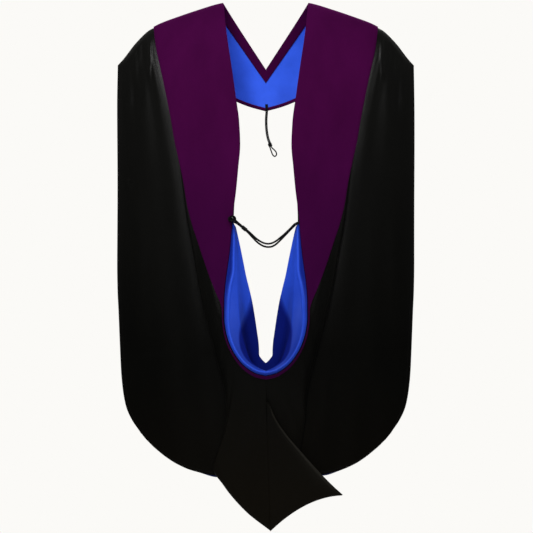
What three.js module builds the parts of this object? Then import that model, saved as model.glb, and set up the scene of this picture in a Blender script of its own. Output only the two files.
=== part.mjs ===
// A doctoral academic hood, shaped as it is worn: a V of velvet across the chest, velvet bands over the
// shoulders and down the back, a cowl turned out to show its satin, a tail, and a lined cape on each side.
// Millimetres. +Z is up, the back of the hood faces -Y, and the origin lies midway between the shoulder
// peaks, on the line where the hood rests on its wearer.
import * as THREE from "three";

// Overall sizes
const HOOD_LENGTH = 1219; // shoulder peak to the tip of the tail
const COWL_LENGTH = 864; // shoulder peak to the lowest point of the cowl's rim
const SLIT_LENGTH = 834; // shoulder peak to the closed end of the back opening
const CAPE_LENGTH = 1105; // shoulder peak to the cape's hem at the centre seam
const NECK_HALF = 99; // half the neck opening at the shoulder line
const SHOULDER_HALF = 259; // half the width across the velvet at the shoulders
const SHOULDER_DROP = 55; // how far the velvet's outer edge lies below the peaks
const CAPE_HALF = 344; // half the width across the cape
const CORNER_DROP = 143; // how far the cape's top corner lies below the peaks
const CAPE_CORNER = 290; // where the hem turns up into the side edge, from the centre
const CAPE_CORNER_LENGTH = 918; // that turn's drop below the shoulder line
const HEM_SAG = 70; // how far the hem hangs below a straight line
const TAIL_REACH = 174; // how far the tail's fold swings out to the right
const TAIL_SWING = 10; // how far the tail's seam wanders to the right at its tip
const FRONT_V = 150; // shoulder peak to the point of the neckline in front
const FRONT_LENGTH = 245; // shoulder peak to the lower point of the front band

// Depths, from the shoulder line
const BACK_DEPTH = 118;
const FRONT_DEPTH = 95;
const SHOULDER_ROLL = 230; // the height over which cloth curves from the shoulder to the vertical
const SIDE_WRAP = 0.968; // how far the cape follows the curve of the back round to the arms
const COWL_OPENING = 60; // how far the rim stands off the back at its lowest point
const POUCH_DEPTH = 55; // how far the lining dips below the rim
const FOLD_HEIGHT = 10; // height of the roll where the cowl's cloth turns under

// Cloth
const VELVET = 2;
const SHELL = 1.2;
const SATIN = 1;
const LAYER_GAP = 0.8;
const COWL_GAP = 1.4; // between the cape and the cowl's cloth turned under
const SEAM_GAP = 0.4;
const PIPING = 7; // width of velvet that shows round the foot of the cowl
const POINT_TURNING = 18; // width of velvet turned to the inside at the point of the neckline
const SHOULDER_TURNING = 25; // and at the shoulder
const LOWER_TURNING = 9; // velvet turned to the inside along the band's lower edge

// Cord and button
const CORD = 2.6;
const BUTTON = 17;
const SHANK = 4.6;
const SHANK_LENGTH = 4.4;
const KNOT_WIDTH = 9.6;
const KNOT_LENGTH = 10;

// Heights of the middle of each layer over the wearer's form
const CAPE_LINING_AT = SATIN / 2;
const CAPE_SHELL_AT = SATIN + LAYER_GAP + SHELL / 2;
const VELVET_OVER_SHELL = SHELL / 2 + LAYER_GAP + VELVET / 2;
const COWL_AT = CAPE_SHELL_AT + SHELL / 2 + COWL_GAP + SHELL / 2;
const VELVET_AT = CAPE_SHELL_AT + VELVET_OVER_SHELL;
const FRONT_LINING_AT = VELVET_AT - VELVET / 2 - LAYER_GAP - SATIN / 2;
const TURNING_AT = FRONT_LINING_AT - SATIN / 2 - LAYER_GAP - VELVET / 2;

const TAIL_LENGTH = HOOD_LENGTH - COWL_LENGTH;
const NECKLINE = Math.hypot(NECK_HALF, FRONT_V); // length of one side of the neckline in front

// The line of the shoulders: height lost, as a share of the drop, on the way from peak to velvet edge to corner
const SHOULDER_SLOPE = [
  { out: 0, loss: 0 },
  { out: 0.06, loss: 0.035 },
  { out: 0.35, loss: 0.29 },
  { out: 0.64, loss: 0.575 },
  { out: 0.9, loss: 0.855 },
  { out: 1, loss: 1 },
];
const CORNER_SLOPE = [
  { out: 0, loss: 0 },
  { out: 0.14, loss: 0.07 },
  { out: 0.28, loss: 0.184 },
  { out: 0.42, loss: 0.322 },
  { out: 0.56, loss: 0.475 },
  { out: 0.7, loss: 0.655 },
  { out: 0.84, loss: 0.83 },
  { out: 1, loss: 1 },
];

// Sections of one side of the back, from the shoulder line to the seam below the cowl.
// rimX, rimDown: the velvet's inner edge, as shares of NECK_HALF and COWL_LENGTH.
// sideX, sideDown: the velvet's outer edge, then the cowl's side fold, as shares of SHOULDER_HALF and COWL_LENGTH.
// tailDown: share of the tail's length added to sideDown. band: share of the section that velvet covers.
// rimLift, sideLift: shares of COWL_OPENING and FOLD_HEIGHT. fall: how suddenly the cloth drops off the rim.
// bow: how far the section bows towards the centre. tuck: share of the section repeated by the turned-under cloth.
const SECTIONS = [
  { rimX: 1, rimDown: 0, sideX: 1, sideDown: 0, tailDown: 0, band: 1, rimLift: 0, sideLift: 0, fall: 0, bow: 0, tuck: 0.25 },
  { rimX: 0.985, rimDown: 0.018, sideX: 0.993, sideDown: 0.02, tailDown: 0, band: 1, rimLift: 0, sideLift: 0, fall: 0, bow: 0, tuck: 0.25 },
  { rimX: 0.953, rimDown: 0.054, sideX: 0.975, sideDown: 0.062, tailDown: 0, band: 1, rimLift: 0, sideLift: 0, fall: 0, bow: 0, tuck: 0.25 },
  { rimX: 0.904, rimDown: 0.097, sideX: 0.942, sideDown: 0.112, tailDown: 0, band: 1, rimLift: 0, sideLift: 0, fall: 0, bow: 0, tuck: 0.25 },
  { rimX: 0.817, rimDown: 0.162, sideX: 0.894, sideDown: 0.185, tailDown: 0, band: 1, rimLift: 0, sideLift: 0, fall: 0, bow: 0, tuck: 0.25 },
  { rimX: 0.709, rimDown: 0.248, sideX: 0.846, sideDown: 0.264, tailDown: 0, band: 1, rimLift: 0, sideLift: 0, fall: 0, bow: 0, tuck: 0.25 },
  { rimX: 0.628, rimDown: 0.317, sideX: 0.809, sideDown: 0.333, tailDown: 0, band: 1, rimLift: 0, sideLift: 0, fall: 0, bow: 0, tuck: 0.25 },
  { rimX: 0.604, rimDown: 0.379, sideX: 0.772, sideDown: 0.385, tailDown: 0, band: 1, rimLift: 0.03, sideLift: 0.2, fall: 0, bow: 0, tuck: 0.25 },
  { rimX: 0.648, rimDown: 0.441, sideX: 0.733, sideDown: 0.447, tailDown: 0, band: 0.98, rimLift: 0.09, sideLift: 0.6, fall: 0, bow: 0, tuck: 0.25 },
  { rimX: 0.701, rimDown: 0.505, sideX: 0.706, sideDown: 0.508, tailDown: 0, band: 0.95, rimLift: 0.14, sideLift: 0.8, fall: 0, bow: 0, tuck: 0.25 },
  { rimX: 0.772, rimDown: 0.567, sideX: 0.675, sideDown: 0.566, tailDown: 0, band: 0.92, rimLift: 0.2, sideLift: 1, fall: 0, bow: 0, tuck: 0.25 },
  { rimX: 0.817, rimDown: 0.623, sideX: 0.643, sideDown: 0.619, tailDown: 0, band: 0.87, rimLift: 0.28, sideLift: 1, fall: 0, bow: 0, tuck: 0.25 },
  { rimX: 0.859, rimDown: 0.672, sideX: 0.615, sideDown: 0.67, tailDown: 0, band: 0.78, rimLift: 0.37, sideLift: 1, fall: 0, bow: 0, tuck: 0.25 },
  { rimX: 0.911, rimDown: 0.715, sideX: 0.59, sideDown: 0.718, tailDown: 0, band: 0.64, rimLift: 0.46, sideLift: 1, fall: 0, bow: 0, tuck: 0.25 },
  { rimX: 0.958, rimDown: 0.758, sideX: 0.554, sideDown: 0.774, tailDown: 0, band: 0.43, rimLift: 0.55, sideLift: 1, fall: 0, bow: 0, tuck: 0.25 },
  { rimX: 0.981, rimDown: 0.801, sideX: 0.509, sideDown: 0.843, tailDown: 0, band: 0.15, rimLift: 0.63, sideLift: 1, fall: 0, bow: 0, tuck: 0.25 },
  { rimX: 0.981, rimDown: 0.844, sideX: 0.459, sideDown: 0.907, tailDown: 0, band: 0, rimLift: 0.71, sideLift: 1, fall: 0.05, bow: 0, tuck: 0.25 },
  { rimX: 0.946, rimDown: 0.878, sideX: 0.41, sideDown: 0.972, tailDown: 0, band: 0, rimLift: 0.77, sideLift: 1.1, fall: 0.15, bow: 0, tuck: 0.22 },
  { rimX: 0.883, rimDown: 0.905, sideX: 0.355, sideDown: 1, tailDown: 0.118, band: 0, rimLift: 0.83, sideLift: 1.3, fall: 0.3, bow: 0.02, tuck: 0.2 },
  { rimX: 0.803, rimDown: 0.927, sideX: 0.347, sideDown: 1, tailDown: 0.271, band: 0, rimLift: 0.88, sideLift: 1.4, fall: 0.45, bow: 0.05, tuck: 0.22 },
  { rimX: 0.7, rimDown: 0.947, sideX: 0.413, sideDown: 1, tailDown: 0.47, band: 0, rimLift: 0.92, sideLift: 1.3, fall: 0.6, bow: 0.09, tuck: 0.48 },
  { rimX: 0.57, rimDown: 0.966, sideX: 0.47, sideDown: 1, tailDown: 0.574, band: 0, rimLift: 0.95, sideLift: 1.3, fall: 0.72, bow: 0.1, tuck: 0.6 },
  { rimX: 0.406, rimDown: 0.982, sideX: 0.38, sideDown: 1, tailDown: 0.703, band: 0, rimLift: 0.98, sideLift: 1.4, fall: 0.85, bow: 0.05, tuck: 0.7 },
  { rimX: 0.218, rimDown: 0.994, sideX: 0.197, sideDown: 1, tailDown: 0.868, band: 0, rimLift: 1, sideLift: 1.5, fall: 0.95, bow: 0, tuck: 0.77 },
  { rimX: 0, rimDown: 1, sideX: 0, sideDown: 1, tailDown: 0.985, band: 0, rimLift: 1, sideLift: 1.6, fall: 1, bow: 0, tuck: 0.82 },
];
// The right side's last sections, which narrow beneath the tail's fold
const RIGHT_FOOT = [
  { from: 19, sideX: 0.347, tailDown: 0.271, bow: 0.05 },
  { from: 20, sideX: 0.318, tailDown: 0.41, bow: 0.04 },
  { from: 21, sideX: 0.272, tailDown: 0.535, bow: 0.02 },
  { from: 22, sideX: 0.212, tailDown: 0.67, bow: 0 },
  { from: 23, sideX: 0.13, tailDown: 0.81, bow: 0 },
  { from: 24, sideX: 0, tailDown: 0.95, bow: 0 },
];
const COWL_STARTS = 8;
const LINING_STARTS = 10;
const LAST = SECTIONS.length - 1;

// The edge of the back opening beside the lining: shares of NECK_HALF and SLIT_LENGTH.
// pouch: how much of POUCH_DEPTH the lining dips in that section.
const SLIT = [
  { section: 10, x: 0.733, down: 0.604, pouch: 0 },
  { section: 11, x: 0.625, down: 0.66, pouch: 0 },
  { section: 12, x: 0.538, down: 0.71, pouch: 0 },
  { section: 13, x: 0.462, down: 0.756, pouch: 0 },
  { section: 14, x: 0.38, down: 0.796, pouch: 0.02 },
  { section: 15, x: 0.315, down: 0.83, pouch: 0.06 },
  { section: 16, x: 0.263, down: 0.866, pouch: 0.12 },
  { section: 17, x: 0.223, down: 0.897, pouch: 0.2 },
  { section: 18, x: 0.192, down: 0.922, pouch: 0.3 },
  { section: 19, x: 0.169, down: 0.941, pouch: 0.42 },
  { section: 20, x: 0.157, down: 0.96, pouch: 0.55 },
  { section: 21, x: 0.153, down: 0.977, pouch: 0.68 },
  { section: 22, x: 0.106, down: 0.987, pouch: 0.82 },
  { section: 23, x: 0.054, down: 0.994, pouch: 0.95 },
  { section: 24, x: 0, down: 1, pouch: 1 },
];
// The lining from rim to slit: across is the share of the way, depth the share of the rim's lift lost, dip of the pouch
const LINING_PATH = [
  { across: 0, depth: 0, dip: 0 },
  { across: 0.15, depth: -0.05, dip: 0 },
  { across: 0.32, depth: 0.02, dip: 0.05 },
  { across: 0.46, depth: 0.3, dip: 0.55 },
  { across: 0.56, depth: 0.58, dip: 0.95 },
  { across: 0.68, depth: 0.82, dip: 1 },
  { across: 0.84, depth: 0.95, dip: 0.6 },
  { across: 1, depth: 1, dip: 0 },
];

// Sections of the front band, from the chest to the shoulder: share of the neckline, then the lower edge
// as shares of SHOULDER_HALF and FRONT_LENGTH
const FRONT_SECTIONS = [
  { neck: 0, lowX: 0, lowDown: 1 },
  { neck: 0.13, lowX: 0.14, lowDown: 0.96 },
  { neck: 0.27, lowX: 0.29, lowDown: 0.897 },
  { neck: 0.42, lowX: 0.46, lowDown: 0.8 },
  { neck: 0.57, lowX: 0.62, lowDown: 0.675 },
  { neck: 0.71, lowX: 0.76, lowDown: 0.52 },
  { neck: 0.83, lowX: 0.88, lowDown: 0.34 },
  { neck: 0.92, lowX: 0.955, lowDown: 0.165 },
  { neck: 0.98, lowX: 0.99, lowDown: 0.04 },
  { neck: 1, lowX: 1, lowDown: 0 },
];

// Rows of the cape below those that follow the velvet over the shoulder: share of the way down from there to
// the hem, reach as a share of the way from CAPE_CORNER to CAPE_HALF, and the share of HEM_SAG
const CAPE_ROWS = [
  { down: 0.12, reach: 1, sag: 0 },
  { down: 0.25, reach: 1, sag: 0 },
  { down: 0.36, reach: 0.98, sag: 0.05 },
  { down: 0.44, reach: 0.94, sag: 0.1 },
  { down: 0.54, reach: 0.895, sag: 0.2 },
  { down: 0.665, reach: 0.835, sag: 0.35 },
  { down: 0.695, reach: 0.815, sag: 0.4 },
  { down: 0.76, reach: 0.748, sag: 0.5 },
  { down: 0.83, reach: 0.63, sag: 0.65 },
  { down: 0.915, reach: 0.37, sag: 0.83 },
  { down: 1, reach: 0, sag: 1 },
];
// How much of its sag the hem has at a share of the way from the centre seam to the corner
const HEM_SHAPE = [
  { out: 0, sag: 0 },
  { out: 0.2, sag: 0.47 },
  { out: 0.32, sag: 0.765 },
  { out: 0.4, sag: 0.875 },
  { out: 0.5, sag: 0.935 },
  { out: 0.6, sag: 0.955 },
  { out: 0.7, sag: 0.9 },
  { out: 0.8, sag: 0.765 },
  { out: 0.9, sag: 0.505 },
  { out: 0.95, sag: 0.31 },
  { out: 1, sag: 0 },
];
const CAPE_FOLLOWS = 6; // the last of the velvet's sections that the cape follows
// Soft flutes of the cape outside the velvet: share of the way out, and height towards the back
const FLUTES = [
  { out: 0, height: 0 },
  { out: 0.14, height: 5 },
  { out: 0.3, height: -4 },
  { out: 0.48, height: 4 },
  { out: 0.66, height: -4 },
  { out: 0.84, height: 2 },
  { out: 1, height: 0 },
];

// Rows of the tail's fold: the seam and the fold's edge, as shares of the tail's length and of TAIL_REACH,
// how far the row bows upwards, and the heights of seam and edge over the left half's cloth
const TAIL_FOLD = [
  { seamDown: 0.165, edgeX: 0.025, edgeDown: 0.169, bow: 0, seamLift: 8, edgeLift: 9 },
  { seamDown: 0.255, edgeX: 0.105, edgeDown: 0.268, bow: 0, seamLift: 4, edgeLift: 11 },
  { seamDown: 0.358, edgeX: 0.235, edgeDown: 0.368, bow: 0, seamLift: 0.5, edgeLift: 12 },
  { seamDown: 0.479, edgeX: 0.43, edgeDown: 0.482, bow: 0, seamLift: 0, edgeLift: 15 },
  { seamDown: 0.622, edgeX: 0.612, edgeDown: 0.584, bow: 0, seamLift: 0, edgeLift: 17 },
  { seamDown: 0.762, edgeX: 0.775, edgeDown: 0.671, bow: 0.012, seamLift: 0, edgeLift: 16 },
  { seamDown: 0.896, edgeX: 0.9, edgeDown: 0.732, bow: 0.03, seamLift: 0, edgeLift: 14 },
  { seamDown: 1.012, edgeX: 1, edgeDown: 0.777, bow: 0.054, seamLift: 0, edgeLift: 12 },
];
const FOLD_THICKNESS = 5; // between the two layers of the tail's fold
const DIVE = 10; // how far the right half sinks beneath the tail's fold
const DIVE_FROM = 0.02; // where it starts to sink, as a share of the tail's length
const DIVE_OVER = 0.32;

// Routes of the cords, chosen by hand
const BACK_CORD_ROUTE = [
  [77.2, -136.6, -504.8],
  [71.2, -136, -510],
  [60, -134.8, -520.5],
  [48, -134.2, -531.6],
  [30, -133.6, -547],
  [14, -133.4, -555],
  [-4, -133.6, -556.5],
  [-22, -134.4, -547.5],
  [-34, -135.2, -534.6],
  [-42.8, -136, -525.9],
  [-48.3, -136.6, -521.5],
  [-53.8, -137.2, -517.2],
  [-62.2, -138.2, -510.2],
  [-70.7, -139, -502.8],
  [-78.8, -139, -495.7],
  [-82.1, -139, -495.1],
  [-85, -139, -497.1],
  [-85.6, -139, -500.4],
  [-83.6, -139, -503.3],
  [-74.1, -139, -508.6],
  [-65, -138.2, -514.2],
  [-55.8, -137.2, -519.7],
  [-50.3, -136.6, -524],
  [-44.8, -136, -528.4],
  [-37, -135.2, -536.6],
  [-24, -134.4, -552.5],
  [-5, -133.6, -563.2],
  [16, -133.4, -562],
  [34, -133.6, -551],
  [50, -134.2, -536.4],
  [62, -134.8, -525.4],
  [72.2, -136.2, -515.4],
  [77.4, -137, -510.2],
];
const FRONT_LOOP_ROUTE = [
  [0.4, 96.2, -230],
  [0.4, 94.6, -231],
  [0.5, 92.9, -234],
  [0.7, 92.2, -238.5],
  [0.8, 92.2, -244],
  [-0.6, 92.2, -271],
  [0.7, 92.2, -295],
  [4.6, 92.2, -312],
  [8.8, 92.2, -324.6],
  [11.2, 92.2, -335],
  [15.8, 92.2, -348],
  [21.4, 92.2, -353.6],
  [26, 92.2, -347],
  [21.5, 92.2, -337.5],
  [13.4, 92.2, -328.6],
  [11.4, 92.2, -323.4],
  [7.2, 92.2, -310.6],
  [3.6, 92.2, -294.6],
  [2.2, 92.2, -271],
  [3.6, 92.2, -244],
  [3.6, 92.2, -238.5],
  [3.5, 92.9, -234],
  [3.4, 94.6, -231],
  [3.4, 96.2, -230],
];
const BACK_KNOT = { at: [-49.3, -136.6, -522.75], along: [-0.78, -0.08, 0.62] };
const FRONT_KNOT = { at: [10.1, 92.2, -324], along: [-0.36, 0, 0.93] };
const BUTTON_AT = { section: 10.2, across: 0.025, lean: [0.34, -0.94, 0] };

// Smooth curve through a table's rows that never swings past them
function along(table, key, column, where) {
  const xs = table.map((row) => row[key]);
  const ys = table.map((row) => row[column]);
  const last = xs.length - 1;
  if (where <= xs[0]) return ys[0];
  if (where >= xs[last]) return ys[last];
  let i = 0;
  while (where > xs[i + 1]) i++;
  const slope = (k) => (ys[k + 1] - ys[k]) / (xs[k + 1] - xs[k]);
  const tangent = (k) => {
    if (k === 0) return slope(0);
    if (k === last) return slope(last - 1);
    const before = slope(k - 1);
    const after = slope(k);
    return before * after <= 0 ? 0 : (2 * before * after) / (before + after);
  };
  const width = xs[i + 1] - xs[i];
  const t = (where - xs[i]) / width;
  const a = (1 + 2 * t) * (1 - t) ** 2 * ys[i];
  const b = t * (1 - t) ** 2 * width * tangent(i);
  const c = t * t * (3 - 2 * t) * ys[i + 1];
  const d = t * t * (t - 1) * width * tangent(i + 1);
  return a + b + c + d;
}

const mix = (a, b, t) => a + (b - a) * t;
const ease = (t) => {
  const held = Math.min(1, Math.max(0, t));
  return held * held * (3 - 2 * held);
};

// Height of the shoulder line at a distance from the centre
function shoulderLine(x) {
  const out = Math.abs(x);
  if (out <= NECK_HALF) return 0;
  if (out <= SHOULDER_HALF) {
    return -SHOULDER_DROP * along(SHOULDER_SLOPE, "out", "loss", (out - NECK_HALF) / (SHOULDER_HALF - NECK_HALF));
  }
  const beyond = (out - SHOULDER_HALF) / (CAPE_HALF - SHOULDER_HALF);
  return mix(-SHOULDER_DROP, -CORNER_DROP, along(CORNER_SLOPE, "out", "loss", beyond));
}

// A point over the wearer's form: drop below the shoulder line, on the back (-1) or the front (+1), raised off it
function onForm(x, drop, facing, raised) {
  const depth = facing < 0 ? BACK_DEPTH : FRONT_DEPTH;
  const turn = Math.acos(Math.max(0, 1 - Math.max(0, drop) / SHOULDER_ROLL));
  const below = Math.max(0, drop - SHOULDER_ROLL);
  const share = (SIDE_WRAP * x) / CAPE_HALF;
  const round = Math.sqrt(Math.max(0.02, 1 - share * share));
  const reach = depth * round;
  const narrowing = (-depth * SIDE_WRAP * share) / CAPE_HALF / round;
  const tilt = shoulderLine(x + 1) / 2 - shoulderLine(x - 1) / 2;
  const normal = new THREE.Vector3(
    -tilt * reach * Math.cos(turn) - narrowing * SHOULDER_ROLL * Math.sin(turn) ** 2,
    facing * SHOULDER_ROLL * Math.sin(turn),
    reach * Math.cos(turn),
  ).normalize();
  return new THREE.Vector3(
    x,
    facing * (reach * Math.sin(turn) + SEAM_GAP / 2),
    shoulderLine(x) - SHOULDER_ROLL * (1 - Math.cos(turn)) - below,
  ).addScaledVector(normal, raised);
}

const foot = (hand, section, column) =>
  hand > 0 && column in RIGHT_FOOT[0] && section > RIGHT_FOOT[0].from
    ? along(RIGHT_FOOT, "from", column, section)
    : along(SECTION_ROWS, "section", column, section);
const SECTION_ROWS = SECTIONS.map((row, section) => ({ section, ...row }));

// How far the right half has sunk beneath the tail's fold at a drop
const diveAt = (drop) => DIVE * ease(((drop - COWL_LENGTH) / TAIL_LENGTH - DIVE_FROM) / DIVE_OVER);

// The cowl's outer wall and, above it, the band: a section from the rim (across 0) to the side (across 1)
function wallPoint(hand, section, across, raised) {
  const of = (column) => foot(hand, section, column);
  const rimX = NECK_HALF * of("rimX");
  const sideX = SHOULDER_HALF * of("sideX");
  const rimDrop = COWL_LENGTH * of("rimDown");
  const sideDrop = COWL_LENGTH * of("sideDown") + TAIL_LENGTH * of("tailDown");
  const bow = NECK_HALF * of("bow") * 4 * across * (1 - across);
  const drop = mix(rimDrop, sideDrop, across);
  const swing = (TAIL_SWING * ease((section - 18) / 6) * Math.max(0, drop - COWL_LENGTH)) / TAIL_LENGTH;
  const x = hand * (mix(rimX, sideX, across) - bow + SEAM_GAP / 2) + swing;
  const fall = of("fall");
  const shape = (1 - fall) * (1 - across ** 2) + fall * (1 - across) ** 3;
  const low = FOLD_HEIGHT * of("sideLift");
  const lift = mix(low, COWL_OPENING * of("rimLift"), shape) - (hand > 0 ? diveAt(drop) : 0);
  const laid = ease((section - 6) / 2);
  const base = mix(CAPE_SHELL_AT, COWL_AT, laid);
  const point = onForm(x, drop, -1, base);
  point.y -= Math.max(0, lift) * laid;
  if (!raised) return point;
  const step = 0.01;
  const a = wallPoint(hand, Math.min(LAST, section + step), across, 0);
  const b = wallPoint(hand, Math.max(0, section - step), across, 0);
  const c = wallPoint(hand, section, Math.min(1, across + step), 0);
  const d = wallPoint(hand, section, Math.max(0, across - step), 0);
  const normal = section < step ? onForm(x, 0, -1, 1).sub(onForm(x, 0, -1, 0)) : a.sub(b).cross(c.sub(d)).normalize();
  if (section >= step) normal.multiplyScalar(hand);
  return point.addScaledVector(normal, raised);
}

// A closed wall of cloth from a grid of points on its middle, with its thickness laid half to each side.
// start and end give the direction of travel at the first and last row where the cloth runs on over an edge.
function clothWall(grid, thickness, start, end) {
  const rows = grid.length;
  const columns = grid[0].length;
  const normals = grid.map((row, i) =>
    row.map((_, j) => {
      const down = new THREE.Vector3().subVectors(
        grid[Math.min(rows - 1, i + 1)][j],
        grid[Math.max(0, i - 1)][j],
      );
      if (i === 0 && start) down.copy(start);
      if (i === rows - 1 && end) down.copy(end);
      const over = new THREE.Vector3().subVectors(
        row[Math.min(columns - 1, j + 1)],
        row[Math.max(0, j - 1)],
      );
      return down.cross(over).normalize();
    }),
  );
  const points = [];
  const index = [];
  for (const half of [0.5, -0.5]) {
    grid.forEach((row, i) =>
      row.forEach((p, j) => points.push(...p.clone().addScaledVector(normals[i][j], half * thickness).toArray())),
    );
  }
  const at = (layer, i, j) => layer * rows * columns + i * columns + j;
  const quad = (a, b, c, d) => index.push(a, b, c, a, c, d);
  for (let i = 0; i < rows - 1; i++) {
    for (let j = 0; j < columns - 1; j++) {
      quad(at(0, i, j), at(0, i + 1, j), at(0, i + 1, j + 1), at(0, i, j + 1));
      quad(at(1, i, j), at(1, i, j + 1), at(1, i + 1, j + 1), at(1, i + 1, j));
    }
    quad(at(0, i, 0), at(1, i, 0), at(1, i + 1, 0), at(0, i + 1, 0));
    quad(at(0, i, columns - 1), at(0, i + 1, columns - 1), at(1, i + 1, columns - 1), at(1, i, columns - 1));
  }
  for (let j = 0; j < columns - 1; j++) {
    quad(at(0, 0, j), at(0, 0, j + 1), at(1, 0, j + 1), at(1, 0, j));
    quad(at(0, rows - 1, j), at(1, rows - 1, j), at(1, rows - 1, j + 1), at(0, rows - 1, j + 1));
  }
  const geometry = new THREE.BufferGeometry();
  geometry.setAttribute("position", new THREE.Float32BufferAttribute(points, 3));
  geometry.setIndex(index);
  if (signedVolume(geometry) < 0) {
    for (let k = 0; k < index.length; k += 3) [index[k + 1], index[k + 2]] = [index[k + 2], index[k + 1]];
    geometry.setIndex(index);
  }
  geometry.computeVertexNormals();
  return geometry;
}

function signedVolume(geometry) {
  const place = geometry.getAttribute("position");
  const index = geometry.getIndex().array;
  const corner = (k) => new THREE.Vector3().fromBufferAttribute(place, index[k]);
  let sum = 0;
  for (let k = 0; k < index.length; k += 3) sum += corner(k).dot(corner(k + 1).cross(corner(k + 2)));
  return sum / 6;
}

const BACKWARDS = new THREE.Vector3(0, -1, 0);
const acrossSeam = (hand) => new THREE.Vector3(-hand, 0, 0);
const steps = (from, to, count) => Array.from({ length: count + 1 }, (_, i) => mix(from, to, i / count));

// Velvet band on one side of the back, narrowing to a piping round the foot of the cowl
function backVelvet(hand) {
  const grid = SECTIONS.map((_, section) => {
    const rim = wallPoint(hand, section, 0, 0);
    const length = rim.distanceTo(wallPoint(hand, section, 1, 0));
    const covered = Math.max(SECTIONS[section].band, PIPING / length);
    return steps(0, covered, 4).map((across) => wallPoint(hand, section, across, VELVET_OVER_SHELL));
  });
  return clothWall(grid, VELVET, BACKWARDS, acrossSeam(hand));
}

// Outer cloth of one half of the cowl: rim, outer wall, the roll at the side, and the cloth turned under
function cowlShell(hand) {
  const outer = [0, 0.06, 0.16, 0.3, 0.48, 0.74, 1];
  const grid = SECTIONS.slice(COWL_STARTS).map((row, i) => {
    const section = COWL_STARTS + i;
    const wall = outer.map((across) => wallPoint(hand, section, across, 0));
    const side = wall[wall.length - 1];
    const before = wall[wall.length - 2];
    const away = new THREE.Vector3(side.x - before.x, 0, side.z - before.z).normalize();
    const floorAt = (p) => p.clone().setY(onForm(p.x, shoulderLine(p.x) - p.z, -1, COWL_AT).y);
    const under = floorAt(side);
    const radius = (under.y - side.y) / 2;
    const roll = [0.25, 0.5, 0.75].map((share) => {
      const angle = Math.PI * share;
      return side
        .clone()
        .addScaledVector(away, radius * Math.sin(angle))
        .setY(side.y + radius * (1 - Math.cos(angle)));
    });
    const turned = steps(1, 1 - row.tuck, 3).map((across) => floorAt(wallPoint(hand, section, across, 0)));
    return [...wall, ...roll, ...turned];
  });
  return clothWall(grid, SHELL, null, acrossSeam(hand));
}

// Satin lining of one half of the cowl, from the rim over its roll, into the pouch and up to the slit
function cowlLining(hand) {
  const grid = SLIT.filter((row) => row.section >= LINING_STARTS).map((row) => {
    const rim = wallPoint(hand, row.section, 0, 0);
    const slitX = hand * (NECK_HALF * row.x + SEAM_GAP / 2);
    const slit = onForm(slitX, SLIT_LENGTH * row.down, -1, COWL_AT);
    const inward = new THREE.Vector3(slit.x - rim.x, 0, slit.z - rim.z).normalize();
    rim.addScaledVector(inward, SHELL + LAYER_GAP);
    return LINING_PATH.map((step) => {
      const x = mix(rim.x, slit.x, step.across);
      const z = mix(rim.z, slit.z, step.across) - POUCH_DEPTH * row.pouch * step.dip;
      return new THREE.Vector3(x, mix(rim.y, slit.y, step.depth), z);
    });
  });
  return clothWall(grid, SATIN, null, acrossSeam(hand));
}

// The tail's right panel: a fold of cloth from the seam out to its edge and back underneath
function tailFold() {
  const grid = TAIL_FOLD.map((row) => {
    const seam = wallPoint(-1, LAST, row.seamDown / SECTIONS[LAST].tailDown, 0);
    seam.x += SEAM_GAP;
    seam.y -= row.seamLift;
    const edgeDrop = COWL_LENGTH + TAIL_LENGTH * row.edgeDown;
    const edgeX = TAIL_REACH * row.edgeX;
    const edge = onForm(edgeX, edgeDrop + shoulderLine(edgeX), -1, COWL_AT);
    edge.y = seam.y + row.seamLift - row.edgeLift;
    const over = (across, down) => {
      const p = seam.clone().lerp(edge, across);
      p.z += TAIL_LENGTH * row.bow * 4 * across * (1 - across);
      p.y -= 0.12 * FOLD_THICKNESS * 4 * across * (1 - across) - down;
      return p;
    };
    const front = steps(0, 1, 4).map((across) => over(across, 0));
    const away = new THREE.Vector3(edge.x - seam.x, 0, edge.z - seam.z).normalize();
    const radius = FOLD_THICKNESS / 2;
    const roll = [0.25, 0.5, 0.75].map((share) =>
      edge
        .clone()
        .addScaledVector(away, radius * Math.sin(Math.PI * share))
        .setY(edge.y + radius * (1 - Math.cos(Math.PI * share))),
    );
    const back = steps(1, 0.1, 4).map((across) => over(across, FOLD_THICKNESS));
    return [...front, ...roll, ...back];
  });
  return clothWall(grid, SHELL);
}

// Inner edge of the cape at a drop: the neckline, then the slit, then the centre seam
const NECK_LINE = SECTIONS.slice(0, LINING_STARTS + 1).map((row) => ({
  drop: COWL_LENGTH * row.rimDown,
  x: NECK_HALF * row.rimX,
}));
const INNER_EDGE = [
  ...NECK_LINE.slice(0, -1),
  ...SLIT.map((row) => ({ drop: SLIT_LENGTH * row.down, x: NECK_HALF * row.x })),
];
// Where the velvet and then the cowl's fold cover the cape, at a drop
const COVERED = SECTIONS.slice(0, 19).map((row) => ({
  drop: COWL_LENGTH * row.sideDown + TAIL_LENGTH * row.tailDown,
  x: SHOULDER_HALF * row.sideX,
}));

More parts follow.
